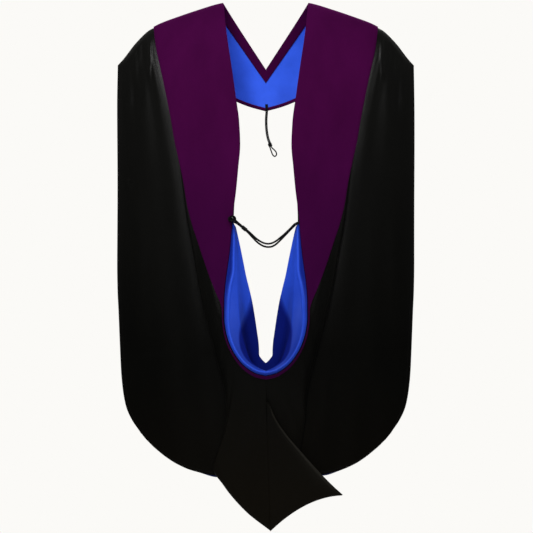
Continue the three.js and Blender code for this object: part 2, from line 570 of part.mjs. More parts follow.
function capeGrid(hand, raised) {
  const inset = SHELL + LAYER_GAP;
  const coveredAt = (drop) => along(COVERED, "drop", "x", drop);
  const innerAt = (drop) => (drop > SLIT_LENGTH ? SEAM_GAP / 2 : along(INNER_EDGE, "drop", "x", drop) + inset);
  const overShoulder = SECTIONS.slice(0, CAPE_FOLLOWS + 1).map((row) => {
    const inner = COWL_LENGTH * row.rimDown;
    const beside = COWL_LENGTH * row.sideDown;
    const innerX = NECK_HALF * row.rimX;
    const widening = (CAPE_HALF - innerX) / (SHOULDER_HALF * row.sideX - innerX);
    return { inner, side: inner + (beside - inner) * widening, reach: 1, sag: 0 };
  });
  const from = overShoulder[CAPE_FOLLOWS];
  const below = CAPE_ROWS.map((row) => ({
    ...row,
    inner: mix(from.inner, CAPE_LENGTH, row.down),
    side: mix(from.side, CAPE_CORNER_LENGTH, row.down),
  }));
  return [...overShoulder, ...below].map((row) => {
    const innerX = innerAt(row.inner);
    const coveredX = coveredAt(row.side);
    const sideX = mix(CAPE_CORNER, CAPE_HALF, row.reach);
    const place = (x, flute) => {
      const share = (x - innerX) / (sideX - innerX);
      const hang = along(HEM_SHAPE, "out", "sag", share);
      const drop = mix(row.inner, row.side, share) + HEM_SAG * row.sag * hang;
      const fade = ease(drop / 60) * (0.2 + 0.8 * ease(1 - drop / 420));
      return onForm(hand * x, drop, -1, raised + flute * fade);
    };
    const inner = steps(0, 0.75, 3).map((share) => place(mix(innerX, coveredX, share), 0));
    const outer = FLUTES.map((flute) => place(mix(coveredX, sideX, flute.out), flute.height));
    return [...inner, ...outer];
  });
}

// Front band: both halves in one piece, a section from neckline to lower edge at a height over the form
function frontSections() {
  const right = FRONT_SECTIONS.map((row) => ({ ...row, hand: 1 }));
  const left = FRONT_SECTIONS.slice(1).map((row) => ({ ...row, hand: -1 }));
  return [...left.reverse(), ...right].map((row) => {
    const neck = { x: NECK_HALF * row.neck, drop: FRONT_V * (1 - row.neck) };
    const low = { x: SHOULDER_HALF * row.lowX, drop: FRONT_LENGTH * row.lowDown };
    const length = Math.hypot(low.x - neck.x, low.drop - neck.drop);
    const squareness = ((low.x - neck.x) * FRONT_V + (low.drop - neck.drop) * NECK_HALF) / length / NECKLINE;
    const turning = mix(POINT_TURNING, SHOULDER_TURNING, row.neck) / squareness;
    return {
      length,
      turning,
      columns: [turning / length, 0.36, 0.58, 0.8],
      at: (across, raised) =>
        onForm(row.hand * mix(neck.x, low.x, across), mix(neck.drop, low.drop, across), 1, raised),
    };
  });
}

function frontVelvet() {
  const middle = (VELVET_AT + TURNING_AT) / 2;
  const radius = (VELVET_AT - TURNING_AT) / 2;
  const grid = frontSections().map((section) => {
    const share = (width) => width / section.length;
    const roll = [0.25, 0.5, 0.75].map((part) => ({
      in: radius * (1 - Math.sin(Math.PI * part)),
      raised: middle - radius * Math.cos(Math.PI * part),
    }));
    const atNeck = roll.map((step) => section.at(share(step.in), step.raised));
    const atFoot = [...roll].reverse().map((step) => section.at(1 - share(step.in), step.raised));
    return [
      section.at(share(section.turning), TURNING_AT),
      section.at(share(radius), TURNING_AT),
      ...atNeck,
      ...[share(radius), ...section.columns, 1 - share(radius)].map((across) => section.at(across, VELVET_AT)),
      ...atFoot,
      section.at(1 - share(radius), TURNING_AT),
      section.at(1 - share(LOWER_TURNING), TURNING_AT),
    ];
  });
  return clothWall(grid, VELVET, new THREE.Vector3(0, 1, 0), BACKWARDS);
}

function frontLining() {
  const inset = VELVET + LAYER_GAP + SATIN;
  const grid = frontSections().map((section) =>
    [inset / section.length, ...section.columns, 1 - inset / section.length].map((across) =>
      section.at(across, FRONT_LINING_AT),
    ),
  );
  return clothWall(grid, SATIN, new THREE.Vector3(0, 1, 0), BACKWARDS);
}

// A round cord along a route, with flat ends
function cordAlong(route, count) {
  const sides = 8;
  const section = new THREE.Shape(
    Array.from({ length: sides }, (_, i) => {
      const angle = (2 * Math.PI * (i + 0.5)) / sides;
      return new THREE.Vector2((CORD / 2) * Math.cos(angle), (CORD / 2) * Math.sin(angle));
    }),
  );
  const path = new THREE.CatmullRomCurve3(route.map((p) => new THREE.Vector3(...p)), false, "centripetal");
  return new THREE.ExtrudeGeometry(section, { steps: count, extrudePath: path, bevelEnabled: false });
}

// A knot drawn tight round two strands of cord, as a thick ring
function knotRing() {
  const hole = CORD + 1.1;
  const half = KNOT_LENGTH / 2;
  const outside = KNOT_WIDTH / 2;
  const waist = (outside + hole) / 2;
  const profile = [
    [hole, -half],
    [waist, -half],
    [outside, -half * 0.45],
    [outside, half * 0.45],
    [waist, half],
    [hole, half],
    [hole, -half],
  ];
  return new THREE.LatheGeometry(profile.map(([r, h]) => new THREE.Vector2(r, h)), 12);
}

// Ball button with a stitched shank: the profile runs from the shank's foot to the crown of the ball
function ballButton() {
  const radius = BUTTON / 2;
  const neck = Math.asin(SHANK / 2 / radius);
  const centre = SHANK_LENGTH + radius * Math.cos(neck);
  const ball = steps(neck, Math.PI, 8).map((angle) => [radius * Math.sin(angle), centre - radius * Math.cos(angle)]);
  ball[ball.length - 1][0] = 0;
  const profile = [[0, 0], [SHANK / 2, 0], ...ball];
  return new THREE.LatheGeometry(profile.map(([r, h]) => new THREE.Vector2(r, h)), 14);
}

const PURPLE_VELVET = new THREE.MeshStandardMaterial({ color: 0x3e0536, roughness: 0.95, metalness: 0 });
const BLACK_CLOTH = new THREE.MeshStandardMaterial({ color: 0x0b0b0a, roughness: 0.75, metalness: 0 });
const BLUE_SATIN = new THREE.MeshStandardMaterial({ color: 0x2146c4, roughness: 0.35, metalness: 0 });
const BLACK_CORD = new THREE.MeshStandardMaterial({ color: 0x060606, roughness: 0.55, metalness: 0 });
const BLACK_GLOSS = new THREE.MeshStandardMaterial({ color: 0x040404, roughness: 0.15, metalness: 0 });

const hood = new THREE.Group();
const add = (name, geometry, material) => {
  const mesh = new THREE.Mesh(geometry, material);
  mesh.name = name;
  hood.add(mesh);
  return mesh;
};
const standAlong = (mesh, place, direction) => {
  mesh.position.copy(place);
  mesh.quaternion.setFromUnitVectors(new THREE.Vector3(0, 1, 0), direction.clone().normalize());
};

for (const [side, hand] of [
  ["left", -1],
  ["right", 1],
]) {
  add(`back_velvet_${side}`, backVelvet(hand), PURPLE_VELVET);
  add(`cowl_shell_${side}`, cowlShell(hand), BLACK_CLOTH);
  add(`cowl_lining_${side}`, cowlLining(hand), BLUE_SATIN);
  add(`cape_shell_${side}`, clothWall(capeGrid(hand, CAPE_SHELL_AT), SHELL, BACKWARDS), BLACK_CLOTH);
  add(`cape_lining_${side}`, clothWall(capeGrid(hand, CAPE_LINING_AT), SATIN, BACKWARDS), BLUE_SATIN);
}
add("front_velvet", frontVelvet(), PURPLE_VELVET);
add("front_lining", frontLining(), BLUE_SATIN);
add("tail_fold", tailFold(), BLACK_CLOTH);
add("back_cord", cordAlong(BACK_CORD_ROUTE, 70), BLACK_CORD);
add("front_loop", cordAlong(FRONT_LOOP_ROUTE, 46), BLACK_CORD);
standAlong(
  add("back_cord_knot", knotRing(), BLACK_CORD),
  new THREE.Vector3(...BACK_KNOT.at),
  new THREE.Vector3(...BACK_KNOT.along),
);
standAlong(
  add("front_loop_knot", knotRing(), BLACK_CORD),
  new THREE.Vector3(...FRONT_KNOT.at),
  new THREE.Vector3(...FRONT_KNOT.along),
);
standAlong(
  add("ball_button", ballButton(), BLACK_GLOSS),
  wallPoint(-1, BUTTON_AT.section, BUTTON_AT.across, VELVET_OVER_SHELL + VELVET / 2 + SEAM_GAP + LAYER_GAP),
  new THREE.Vector3(...BUTTON_AT.lean),
);

export default hood;
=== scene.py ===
# A doctoral academic hood seen from behind, in metres: +Z up, the back of the hood towards -Y.
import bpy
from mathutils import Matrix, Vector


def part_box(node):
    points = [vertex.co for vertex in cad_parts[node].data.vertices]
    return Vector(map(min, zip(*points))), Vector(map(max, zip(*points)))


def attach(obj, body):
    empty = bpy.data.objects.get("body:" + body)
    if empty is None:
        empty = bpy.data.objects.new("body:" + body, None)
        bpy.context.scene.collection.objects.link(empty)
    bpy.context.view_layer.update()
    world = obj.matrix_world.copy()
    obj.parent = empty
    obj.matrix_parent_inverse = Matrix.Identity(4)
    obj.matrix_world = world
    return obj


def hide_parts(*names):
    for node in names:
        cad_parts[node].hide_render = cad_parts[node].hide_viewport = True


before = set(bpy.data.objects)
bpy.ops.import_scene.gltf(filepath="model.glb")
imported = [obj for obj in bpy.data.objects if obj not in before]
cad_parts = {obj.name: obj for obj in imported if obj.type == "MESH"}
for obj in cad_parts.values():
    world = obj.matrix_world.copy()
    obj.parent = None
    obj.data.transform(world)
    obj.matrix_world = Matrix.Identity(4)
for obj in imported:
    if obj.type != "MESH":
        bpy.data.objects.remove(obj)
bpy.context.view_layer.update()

import math
import bmesh
import bpy
import numpy as np
from mathutils import Vector

# Camera. The photograph looks straight at the back of the hood from far away with a long lens, level with its
# middle. Shoulder peaks and tail tip nearly fill the height of the picture.
PIXEL = 0.00232
PICTURE_SIDE = 533
MIDDLE_RIGHT, MIDDLE_DOWN = 0.7, 262.8
BACK_PLANE = -0.12
camera_distance = 20.0
sensor_width = 36


def add_object(name, data):
    """A new object in the scene, at the origin."""
    obj = bpy.data.objects.new(name, data)
    bpy.context.collection.objects.link(obj)
    return obj


camera_data = bpy.data.cameras.new("camera")
camera_data.sensor_width = sensor_width
camera_data.lens = sensor_width * camera_distance / (PICTURE_SIDE * PIXEL)
camera_data.clip_end = 100
camera = add_object("camera", camera_data)
camera.location = (MIDDLE_RIGHT * PIXEL, BACK_PLANE - camera_distance, -MIDDLE_DOWN * PIXEL)
camera.rotation_euler = (math.pi / 2, 0, 0)
bpy.context.scene.camera = camera


# Cords. The neck cord is one length of thin braided cord, sewn to the right velvet, doubled across the
# opening, caught by a slide knot and looped round the button's shank. A second doubled cord hangs from the
# front band, tied to leave a small eye.
def smooth_route(points, per_span):
    """A centripetal curve through given points, as a dense line."""
    p = np.array(points, float)
    p = np.vstack([2 * p[0] - p[1], p, 2 * p[-1] - p[-2]])
    line = []
    for i in range(1, len(p) - 2):
        spans = np.linalg.norm(np.diff(p[i - 1 : i + 3], axis=0), axis=1)
        knots = np.concatenate([[0], np.cumsum(np.sqrt(spans))])
        for t in np.linspace(knots[1], knots[2], per_span, endpoint=False):
            a = [
                ((knots[k + 1] - t) * p[i - 1 + k] + (t - knots[k]) * p[i + k]) / (knots[k + 1] - knots[k])
                for k in range(3)
            ]
            b = [
                ((knots[k + 2] - t) * a[k] + (t - knots[k]) * a[k + 1]) / (knots[k + 2] - knots[k])
                for k in range(2)
            ]
            line.append(((knots[2] - t) * b[0] + (t - knots[1]) * b[1]) / (knots[2] - knots[1]))
    line.append(p[-2])
    return np.array(line)


def even_steps(line, step):
    """The same line again, with points an even step apart."""
    along = np.concatenate([[0], np.cumsum(np.linalg.norm(np.diff(line, axis=0), axis=1))])
    at = np.linspace(0, along[-1], max(2, round(along[-1] / step)) + 1)
    return np.column_stack([np.interp(at, along, line[:, k]) for k in range(3)])


def new_object(name, verts, faces, material, uv=None, mark=None):
    """A mesh object. uv and mark, where given, hold the cut length and a value from 0 to 1 for each point."""
    mesh = bpy.data.meshes.new(name)
    mesh.from_pydata([tuple(v) for v in verts], [], [tuple(f) for f in faces])
    if mark is not None:
        mesh.attributes.new("mark", "FLOAT", "POINT").data.foreach_set("value", np.asarray(mark, float))
    if uv is not None:
        corners = np.empty(len(mesh.loops), dtype=np.int32)
        mesh.loops.foreach_get("vertex_index", corners)
        layer = mesh.uv_layers.new(name="cloth")
        layer.data.foreach_set("uv", np.asarray(uv, float)[corners].ravel())
    mesh.materials.append(material)
    mesh.shade_smooth()
    mesh.update()
    return add_object(name, mesh)


def ring_faces(rings, sides):
    """Faces between rings of points, with the first ring closed."""
    faces = [
        (i * sides + k, i * sides + (k + 1) % sides, (i + 1) * sides + (k + 1) % sides, (i + 1) * sides + k)
        for i in range(rings - 1)
        for k in range(sides)
    ]
    return [*faces, tuple(range(sides - 1, -1, -1))]


def braided_tube(name, line, radius, sides=12):
    """Round braid along a line: strands cross in two directions and stand a little proud."""
    braid, lay = 0.07, 0.0042
    tangent = np.gradient(line, axis=0)
    tangent /= np.linalg.norm(tangent, axis=1)[:, None]
    side = np.cross(tangent[0], [0, 1, 0.3])
    side /= np.linalg.norm(side)
    run = np.concatenate([[0], np.cumsum(np.linalg.norm(np.diff(line, axis=0), axis=1))])
    verts, uv = [], []
    for i, centre in enumerate(line):
        side = side - tangent[i] * (side @ tangent[i])
        side /= np.linalg.norm(side)
        other = np.cross(tangent[i], side)
        for k in range(sides):
            angle = 2 * math.pi * k / sides
            twist = 2 * math.pi * run[i] / lay
            proud = max(math.cos(3 * angle + twist), math.cos(3 * angle - twist))
            r = radius * (1 - braid + braid * proud)
            verts.append(centre + r * (math.cos(angle) * side + math.sin(angle) * other))
            uv.append((run[i], k / sides))
    faces = ring_faces(len(line), sides)
    faces.append(tuple((len(line) - 1) * sides + k for k in range(sides)))
    return new_object(name, verts, faces, cord_material, uv)


def nodes_for(name):
    """A new material with its node tree and its shader."""
    material = bpy.data.materials.new(name)
    material.use_nodes = True
    tree = material.node_tree
    shader = tree.nodes["Principled BSDF"]
    return material, tree, shader


def add_node(tree, kind, inputs=None, **settings):
    """A node whose inputs are set to values or linked to sockets."""
    node = tree.nodes.new(kind)
    for key, value in settings.items():
        setattr(node, key, value)
    for key, value in (inputs or {}).items():
        if isinstance(value, bpy.types.NodeSocket):
            tree.links.new(value, node.inputs[key])
        else:
            node.inputs[key].default_value = value
    return node


def noise(tree, scale, detail):
    """Cloudy variation over the object."""
    place = add_node(tree, "ShaderNodeTexCoord").outputs["Object"]
    inputs = {"Vector": place, "Scale": scale, "Detail": detail}
    return add_node(tree, "ShaderNodeTexNoise", inputs).outputs["Fac"]


def ramp(tree, value, *stops):
    """A colour that runs through stops, each a position and a colour."""
    node = add_node(tree, "ShaderNodeValToRGB", {"Fac": value})
    elements = node.color_ramp.elements
    for element, (position, colour) in zip(elements, (stops[0], stops[-1])):
        element.position, element.color = position, (*colour, 1)
    for position, colour in stops[1:-1]:
        elements.new(position).color = (*colour, 1)
    return node.outputs["Color"]


def bump(tree, height, strength, distance, **under):
    """The normal of small relief. under may name the Normal that it lies on."""
    inputs = {"Height": height, "Strength": strength, "Distance": distance, **under}
    return add_node(tree, "ShaderNodeBump", inputs).outputs["Normal"]


cord_material, tree, shader = nodes_for("black_cord")
shader.inputs["Roughness"].default_value = 0.5
shader.inputs["Specular IOR Level"].default_value = 0.12
fibres = noise(tree, 2600, 2)
tone = ramp(tree, fibres, (0, (0.0008, 0.0008, 0.0009)), (1, (0.003, 0.003, 0.0033)))
tree.links.new(tone, shader.inputs["Base Color"])
tree.links.new(bump(tree, fibres, 0.4, 0.0002), shader.inputs["Normal"])

back_route = [
    (0.0772, -0.138, -0.5064),
    (0.072, -0.138, -0.5087),
    (0.067, -0.1377, -0.5115),
    (0.0554, -0.1369, -0.5231),
    (0.0438, -0.1358, -0.5342),
    (0.0332, -0.1348, -0.5431),
    (0.0237, -0.134, -0.5506),
    (0.0144, -0.1336, -0.5554),
    (0.0051, -0.1335, -0.557),
    (-0.0042, -0.1336, -0.5554),
    (-0.0135, -0.1339, -0.5509),
    (-0.0227, -0.1344, -0.5444),
    (-0.0316, -0.1356, -0.5361),
    (-0.0384, -0.1373, -0.5299),
    (-0.0438, -0.1382, -0.5254),
    (-0.0492, -0.1382, -0.521),
    (-0.0546, -0.1382, -0.5165),
    (-0.061, -0.1386, -0.5111),
    (-0.0673, -0.1393, -0.5054),
    (-0.0732, -0.1395, -0.5004),
    (-0.0788, -0.1395, -0.4956),
    (-0.0821, -0.1395, -0.4949),
    (-0.0851, -0.1395, -0.497),
    (-0.0857, -0.1395, -0.5003),
    (-0.0838, -0.1395, -0.5033),
    (-0.0797, -0.1395, -0.5046),
    (-0.0745, -0.1391, -0.5064),
    (-0.0679, -0.1379, -0.5093),
    (-0.0616, -0.1362, -0.5136),
    (-0.056, -0.135, -0.5182),
    (-0.0506, -0.1349, -0.5227),
    (-0.0452, -0.1349, -0.5271),
    (-0.0398, -0.1347, -0.5322),
    (-0.0367, -0.1344, -0.5356),
    (-0.0297, -0.134, -0.5431),
    (-0.0227, -0.1338, -0.5505),
    (-0.0135, -0.1336, -0.558),
    (-0.0042, -0.1335, -0.5628),
    (0.0051, -0.1334, -0.5645),
    (0.0144, -0.1334, -0.5633),
    (0.0237, -0.1334, -0.558),
    (0.0329, -0.1333, -0.5494),
    (0.0426, -0.1332, -0.5396),
    (0.0568, -0.1335, -0.5247),
    (0.0684, -0.1344, -0.5133),
    (0.073, -0.135, -0.5104),
    (0.077, -0.1351, -0.509),
]
loop_route = [
    (0.0001, 0.0962, -0.23),
    (0.0001, 0.0946, -0.231),
    (0.0002, 0.0928, -0.234),
    (0.0004, 0.092, -0.2385),
    (0.0006, 0.092, -0.246),
    (-0.0006, 0.092, -0.265),
    (-0.0003, 0.092, -0.281),
    (0.0013, 0.092, -0.2975),
    (0.0044, 0.092, -0.312),
    (0.008, 0.092, -0.322),
    (0.0089, 0.092, -0.3275),
    (0.0106, 0.092, -0.3335),
    (0.0136, 0.092, -0.3417),
    (0.0166, 0.092, -0.3484),
    (0.0209, 0.092, -0.3516),
    (0.025, 0.092, -0.348),
    (0.0244, 0.092, -0.3424),
    (0.0198, 0.092, -0.3362),
    (0.0141, 0.092, -0.331),
    (0.0118, 0.092, -0.3263),
    (0.0109, 0.092, -0.321),
    (0.0073, 0.092, -0.3108),
    (0.0043, 0.092, -0.2968),
    (0.00275, 0.092, -0.281),
    (0.00245, 0.092, -0.265),
    (0.00365, 0.092, -0.246),
    (0.00345, 0.092, -0.2385),
    (0.0033, 0.0928, -0.234),
    (0.0032, 0.0946, -0.231),
    (0.0032, 0.0962, -0.23),
]


def wound_knot(name, centre, along, turns, length, inner, radius):
    """Cord wound round two strands, drawn tight, with both ends tucked inside."""
    points_a_turn = 34
    axis = np.array(along) / np.linalg.norm(along)
    side = np.cross(axis, [0, 1, 0])
    side /= np.linalg.norm(side)
    other = np.cross(axis, side)
    t = np.linspace(0, 1, points_a_turn * turns)
    tuck = np.clip(np.minimum(t, 1 - t) * turns * 2.2, 0, 1)
    r = inner * 0.55 + (inner * 0.45 + radius * 0.6) * tuck
    angle = 2 * math.pi * turns * t
    line = (
        np.array(centre)
        + axis * ((t - 0.5) * length)[:, None]
        + side * (r * np.cos(angle))[:, None]
        + other * (r * np.sin(angle))[:, None]
    )
    return braided_tube(name, line, radius, sides=10)


back_knot = wound_knot(
    "slide_knot",
    centre=(-0.0499, -0.1366, -0.5218),
    along=(-0.77, 0, 0.64),
    turns=5,
    length=0.0132,
    inner=0.0028,
    radius=0.0013,
)
loop_knot = wound_knot(
    "loop_knot",
    centre=(0.0099, 0.092, -0.3244),
    along=(-0.38, 0, 0.93),
    turns=4,
    length=0.0082,
    inner=0.0026,
    radius=0.0014,
)
for label, route, knot, node, length, radius in (
    ("neck_cord", back_route, back_knot, "back_cord", 0.418, 0.0023),
    ("hanging_loop", loop_route, loop_knot, "front_loop", 0.26, 0.0016),
):
    line = even_steps(smooth_route(route, 8), 0.0009)
    cord = braided_tube(label, line, radius)
    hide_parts(node)
    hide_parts(node + "_knot")
    for piece in (cord, knot):
        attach(piece, "root")


# Cape. Each side is a panel of plain black cloth over blue satin, cut with the grain down the back, gathered
# a little into the shoulder seam and hanging in low, soft flutes to a rounded, turned hem.
def curve(values, at=None):
    """Smooth curve through a column of values that never swings past them."""
    ys = np.array(values, float)
    xs = np.arange(len(ys)) if at is None else np.array(at, float)
    width = np.diff(xs)
    slope = np.diff(ys) / width
    before, after = slope[:-1], slope[1:]
    both = before * after > 0
    middle = np.where(both, 2 * before * after / np.where(both, before + after, 1), 0)
    tangent = np.concatenate([[slope[0]], middle, [slope[-1]]])

    def value(where):
        t = np.clip(where, xs[0], xs[-1])
        i = np.clip(np.searchsorted(xs, t, side="right") - 1, 0, len(width) - 1)
        u = (t - xs[i]) / width[i]
        return (
            (1 + 2 * u) * (1 - u) ** 2 * ys[i]
            + u * (1 - u) ** 2 * width[i] * tangent[i]
            + u * u * (3 - 2 * u) * ys[i + 1]
            + u * u * (u - 1) * width[i] * tangent[i + 1]
        )

    return value


def ease(t):
    """From 0 to 1 with a soft start and end."""
    held = np.clip(t, 0, 1)
    return held * held * (3 - 2 * held)


def mix(a, b, t):
    """From a to b by a share t."""
    return a + (b - a) * t


neck_half = 0.099
shoulder_half = 0.259
shoulder_drop = 0.055
cape_half = 0.344
corner_drop = 0.143
back_depth, front_depth = 0.118, 0.095
shoulder_roll = 0.230
side_wrap = 0.968
velvet_slope = curve([0, 0.035, 0.29, 0.575, 0.855, 1], [0, 0.06, 0.35, 0.64, 0.9, 1])
corner_slope = curve(
    [0, 0.07, 0.184, 0.322, 0.475, 0.655, 0.83, 1], [0, 0.14, 0.28, 0.42, 0.56, 0.7, 0.84, 1]
)


def shoulder_line(x):
    """Height of the line of the shoulders at a distance from the centre."""
    out = np.abs(x)
    near = -shoulder_drop * velvet_slope((out - neck_half) / (shoulder_half - neck_half))
    share_beyond = (out - shoulder_half) / (cape_half - shoulder_half)
    beyond = mix(-shoulder_drop, -corner_drop, corner_slope(share_beyond))
    return np.where(out <= shoulder_half, near, beyond)


def as_worn(x, drop, facing, raised=0.0):
    """Points of a layer as it is worn: on the back (-1) or the front (1), at a drop below the shoulder line."""
    x, drop = np.broadcast_arrays(np.asarray(x, float), np.asarray(drop, float))
    turn = np.arccos(np.clip(1 - np.maximum(drop, 0) / shoulder_roll, 0, 1))
    below = np.maximum(0, drop - shoulder_roll)
    share = side_wrap * x / cape_half
    round_off = np.sqrt(np.maximum(0.02, 1 - share**2))
    reach = (back_depth if facing < 0 else front_depth) * round_off
    narrowing = -(back_depth if facing < 0 else front_depth) * side_wrap * share / cape_half / round_off
    tilt = (shoulder_line(x + 0.001) - shoulder_line(x - 0.001)) / 0.002
    normal = np.stack(
        [
            -tilt * reach * np.cos(turn) - narrowing * shoulder_roll * np.sin(turn) ** 2,
            facing * shoulder_roll * np.sin(turn),
            reach * np.cos(turn),
        ],
        axis=-1,
    )
    normal /= np.linalg.norm(normal, axis=-1)[..., None]
    height = shoulder_line(x) - shoulder_roll * (1 - np.cos(turn)) - below
    point = np.stack([x, facing * reach * np.sin(turn), height], axis=-1)
    return point + normal * np.asarray(raised)[..., None]


def unit(v):
    """The same directions with length 1."""
    return v / np.maximum(np.linalg.norm(v, axis=-1)[..., None], 1e-12)


def cloth(name, grid, thickness, material, start=None, end=None, mark=None):
    """A closed wall of cloth from a grid on its middle, with rounded edges and its cut length as UV.
    start and end are the direction of travel at the first and last row, where the cloth runs on over an edge.
    mark is a value from 0 to 1 for each point of the grid, which the material reads for painted light and
    shade."""
    down, over = np.gradient(grid, axis=0), np.gradient(grid, axis=1)
    if start is not None:
        down[0] = start
    if end is not None:
        down[-1] = end
    normal = unit(np.cross(unit(down), unit(over)))
    rows, columns = grid.shape[:2]
    count = rows * columns
    edge = (
        [(i, 0) for i in range(rows - 1)]
        + [(rows - 1, j) for j in range(columns - 1)]
        + [(i, columns - 1) for i in range(rows - 1, 0, -1)]
        + [(0, j) for j in range(columns - 1, 0, -1)]
    )
    out = []
    for i, j in edge:
        away = np.zeros(3)
        away += (j == columns - 1) * unit(over[i, j]) - (j == 0) * unit(over[i, j])
        away += (i == rows - 1) * unit(down[i, j]) - (i == 0) * unit(down[i, j])
        out.append(grid[i, j] + 0.4 * thickness * unit(away))
    verts = np.concatenate(
        [
            (grid + normal * thickness / 2).reshape(-1, 3),
            (grid - normal * thickness / 2).reshape(-1, 3),
            np.array(out),
        ]
    )
    number = np.arange(count).reshape(rows, columns)
    a, b, c, d = (number[:-1, :-1], number[1:, :-1], number[1:, 1:], number[:-1, 1:])
    front = np.stack([a, b, c, d], axis=-1).reshape(-1, 4)
    back = np.stack([a, d, c, b], axis=-1).reshape(-1, 4) + count
    ring = [number[i, j] for i, j in edge]
    rim = []
    for k, first in enumerate(ring):
        after = ring[(k + 1) % len(ring)]
        here, there = 2 * count + k, 2 * count + (k + 1) % len(ring)
        rim.append((first, here, there, after))
        rim.append((here, first + count, after + count, there))
    step_over, step_down = (np.linalg.norm(np.diff(grid, axis=axis), axis=2) for axis in (1, 0))
    u = np.concatenate([np.zeros((rows, 1)), np.cumsum(step_over, axis=1)], axis=1)
    v = np.concatenate([np.zeros((1, columns)), np.cumsum(step_down, axis=0)])
    uv = np.stack([u, v], axis=-1).reshape(-1, 2)
    uv = np.concatenate([uv, uv, uv[ring]])
    if mark is not None:
        mark = np.concatenate([mark.ravel(), mark.ravel(), mark.ravel()[ring]])
    return new_object(name, verts, [*front.tolist(), *back.tolist(), *rim], material, uv, mark)


def weave(tree, shader, pitch_u, pitch_v, strength, depth):
    """Over-and-under threads, from the cloth's own cut length, as a bump."""
    uv = add_node(tree, "ShaderNodeUVMap", uv_map="cloth")
    split = add_node(tree, "ShaderNodeSeparateXYZ", {"Vector": uv.outputs["UV"]})
    waves = []
    for axis, pitch in (("X", pitch_u), ("Y", pitch_v)):
        phase = add_node(
            tree, "ShaderNodeMath", {0: split.outputs[axis], 1: 2 * math.pi / pitch}, operation="MULTIPLY"
        )
        waves.append(add_node(tree, "ShaderNodeMath", {0: phase.outputs[0]}, operation="SINE").outputs[0])
    crossed = add_node(tree, "ShaderNodeMath", {0: waves[0], 1: waves[1]}, operation="MULTIPLY")
    tree.links.new(bump(tree, crossed.outputs[0], strength, depth), shader.inputs["Normal"])


def mottled(tree, shader, dark, light, scale, stretch=(1, 1, 1)):
    """Slow, soft variation of a cloth's colour."""
    place = add_node(tree, "ShaderNodeTexCoord").outputs["Object"]
    spread = add_node(tree, "ShaderNodeMapping", {"Vector": place, "Scale": stretch})
    inputs = {"Vector": spread.outputs["Vector"], "Scale": scale, "Detail": 4, "Roughness": 0.6}
    clouds = add_node(tree, "ShaderNodeTexNoise", inputs).outputs["Fac"]
    tree.links.new(ramp(tree, clouds, (0.3, dark), (0.7, light)), shader.inputs["Base Color"])


def object_axis(tree, axis):
    """One coordinate of the place on the object."""
    place = add_node(tree, "ShaderNodeTexCoord").outputs["Object"]
    return add_node(tree, "ShaderNodeSeparateXYZ", {"Vector": place}).outputs[axis]


def share_between(tree, value, start, end, at_start=0.0, at_end=1.0):
    """A number that runs evenly from one to another while a value runs from start to end."""
    inputs = {"Value": value, "From Min": start, "From Max": end, "To Min": at_start, "To Max": at_end}
    return add_node(tree, "ShaderNodeMapRange", inputs).outputs["Result"]


def blended(tree, share, one, other, blend="MIX"):
    """A share of another colour laid over one."""
    inputs = {0: share, 6: one, 7: other}
    return add_node(tree, "ShaderNodeMix", inputs, data_type="RGBA", blend_type=blend).outputs[2]


def lay_colour_over(tree, shader, share, colour, blend="MIX"):
    """Lay a share of another colour over the cloth's own; this also lays painted shade and painted highlights.
    """
    own = shader.inputs["Base Color"].links[0].from_socket
    tree.links.new(blended(tree, share, own, colour, blend), shader.inputs["Base Color"])


black_cloth, tree, shader = nodes_for("black_cloth")
shader.inputs["Roughness"].default_value = 0.38
shader.inputs["Sheen Weight"].default_value = 0.005
shader.inputs["Sheen Roughness"].default_value = 0.4
shader.inputs["Sheen Tint"].default_value = (0.8, 0.85, 0.8, 1)
mottled(tree, shader, (0.001, 0.001, 0.0008), (0.0017, 0.0017, 0.0013), 9, (1, 1, 0.35))
weave(tree, shader, 0.0009, 0.0009, 0.35, 0.00012)
# Handling has polished the cloth at the shoulders; towards the ground it is dull and has turned a little
# brown. Painted highlight: its colour is lighter where it stands out and along a pressed edge.
height, outward = object_axis(tree, "Z"), object_axis(tree, "Y")
low = share_between(tree, height, -0.85, -1.16)
# Painted highlight: a lighter colour where the cloth stands out towards the back
painted_highlight_standing_out = share_between(tree, outward, -0.1245, -0.134)
# Painted highlight along the tail's pressed edge, read from the mark
pressed_ridge_and_painted_highlight = add_node(tree, "ShaderNodeAttribute", attribute_name="mark").outputs["Fac"]
lighter = blended(tree, low, (0.0021, 0.0021, 0.0018, 1), (0.0036, 0.0027, 0.0014, 1))
for share, colour in (
    (low, (0.0019, 0.0013, 0.0005, 1)),
    (painted_highlight_standing_out, lighter),
    (pressed_ridge_and_painted_highlight, (0.014, 0.013, 0.0105, 1)),
):
    lay_colour_over(tree, shader, share, colour)
dulled = share_between(tree, height, -0.15, -0.8, 0.16, 0.04)
tree.links.new(dulled, shader.inputs["Specular IOR Level"])


def satin(name, dark, light):
    """Blue satin between a darker and a lighter tone."""
    material, tree, shader = nodes_for(name)
    shader.inputs["Roughness"].default_value = 0.42
    shader.inputs["Specular IOR Level"].default_value = 0.2
    shader.inputs["Specular Tint"].default_value = (0.4, 0.55, 1, 1)
    shader.inputs["Sheen Weight"].default_value = 0.04
    shader.inputs["Sheen Tint"].default_value = (0.4, 0.55, 1, 1)
    mottled(tree, shader, dark, light, 14)
    weave(tree, shader, 0.0006, 0.0011, 0.12, 0.00006)
    return material, tree, shader


blue_satin, tree, shader = satin("blue_satin", (0.024, 0.083, 0.615), (0.0345, 0.113, 0.775))
# Painted shade: the lowest part of the hem is darker, where the black cloth above shades it
lay_colour_over(tree, shader, share_between(tree, object_axis(tree, "Z"), -1.05, -1.078), (0.006, 0.01, 0.09, 1))

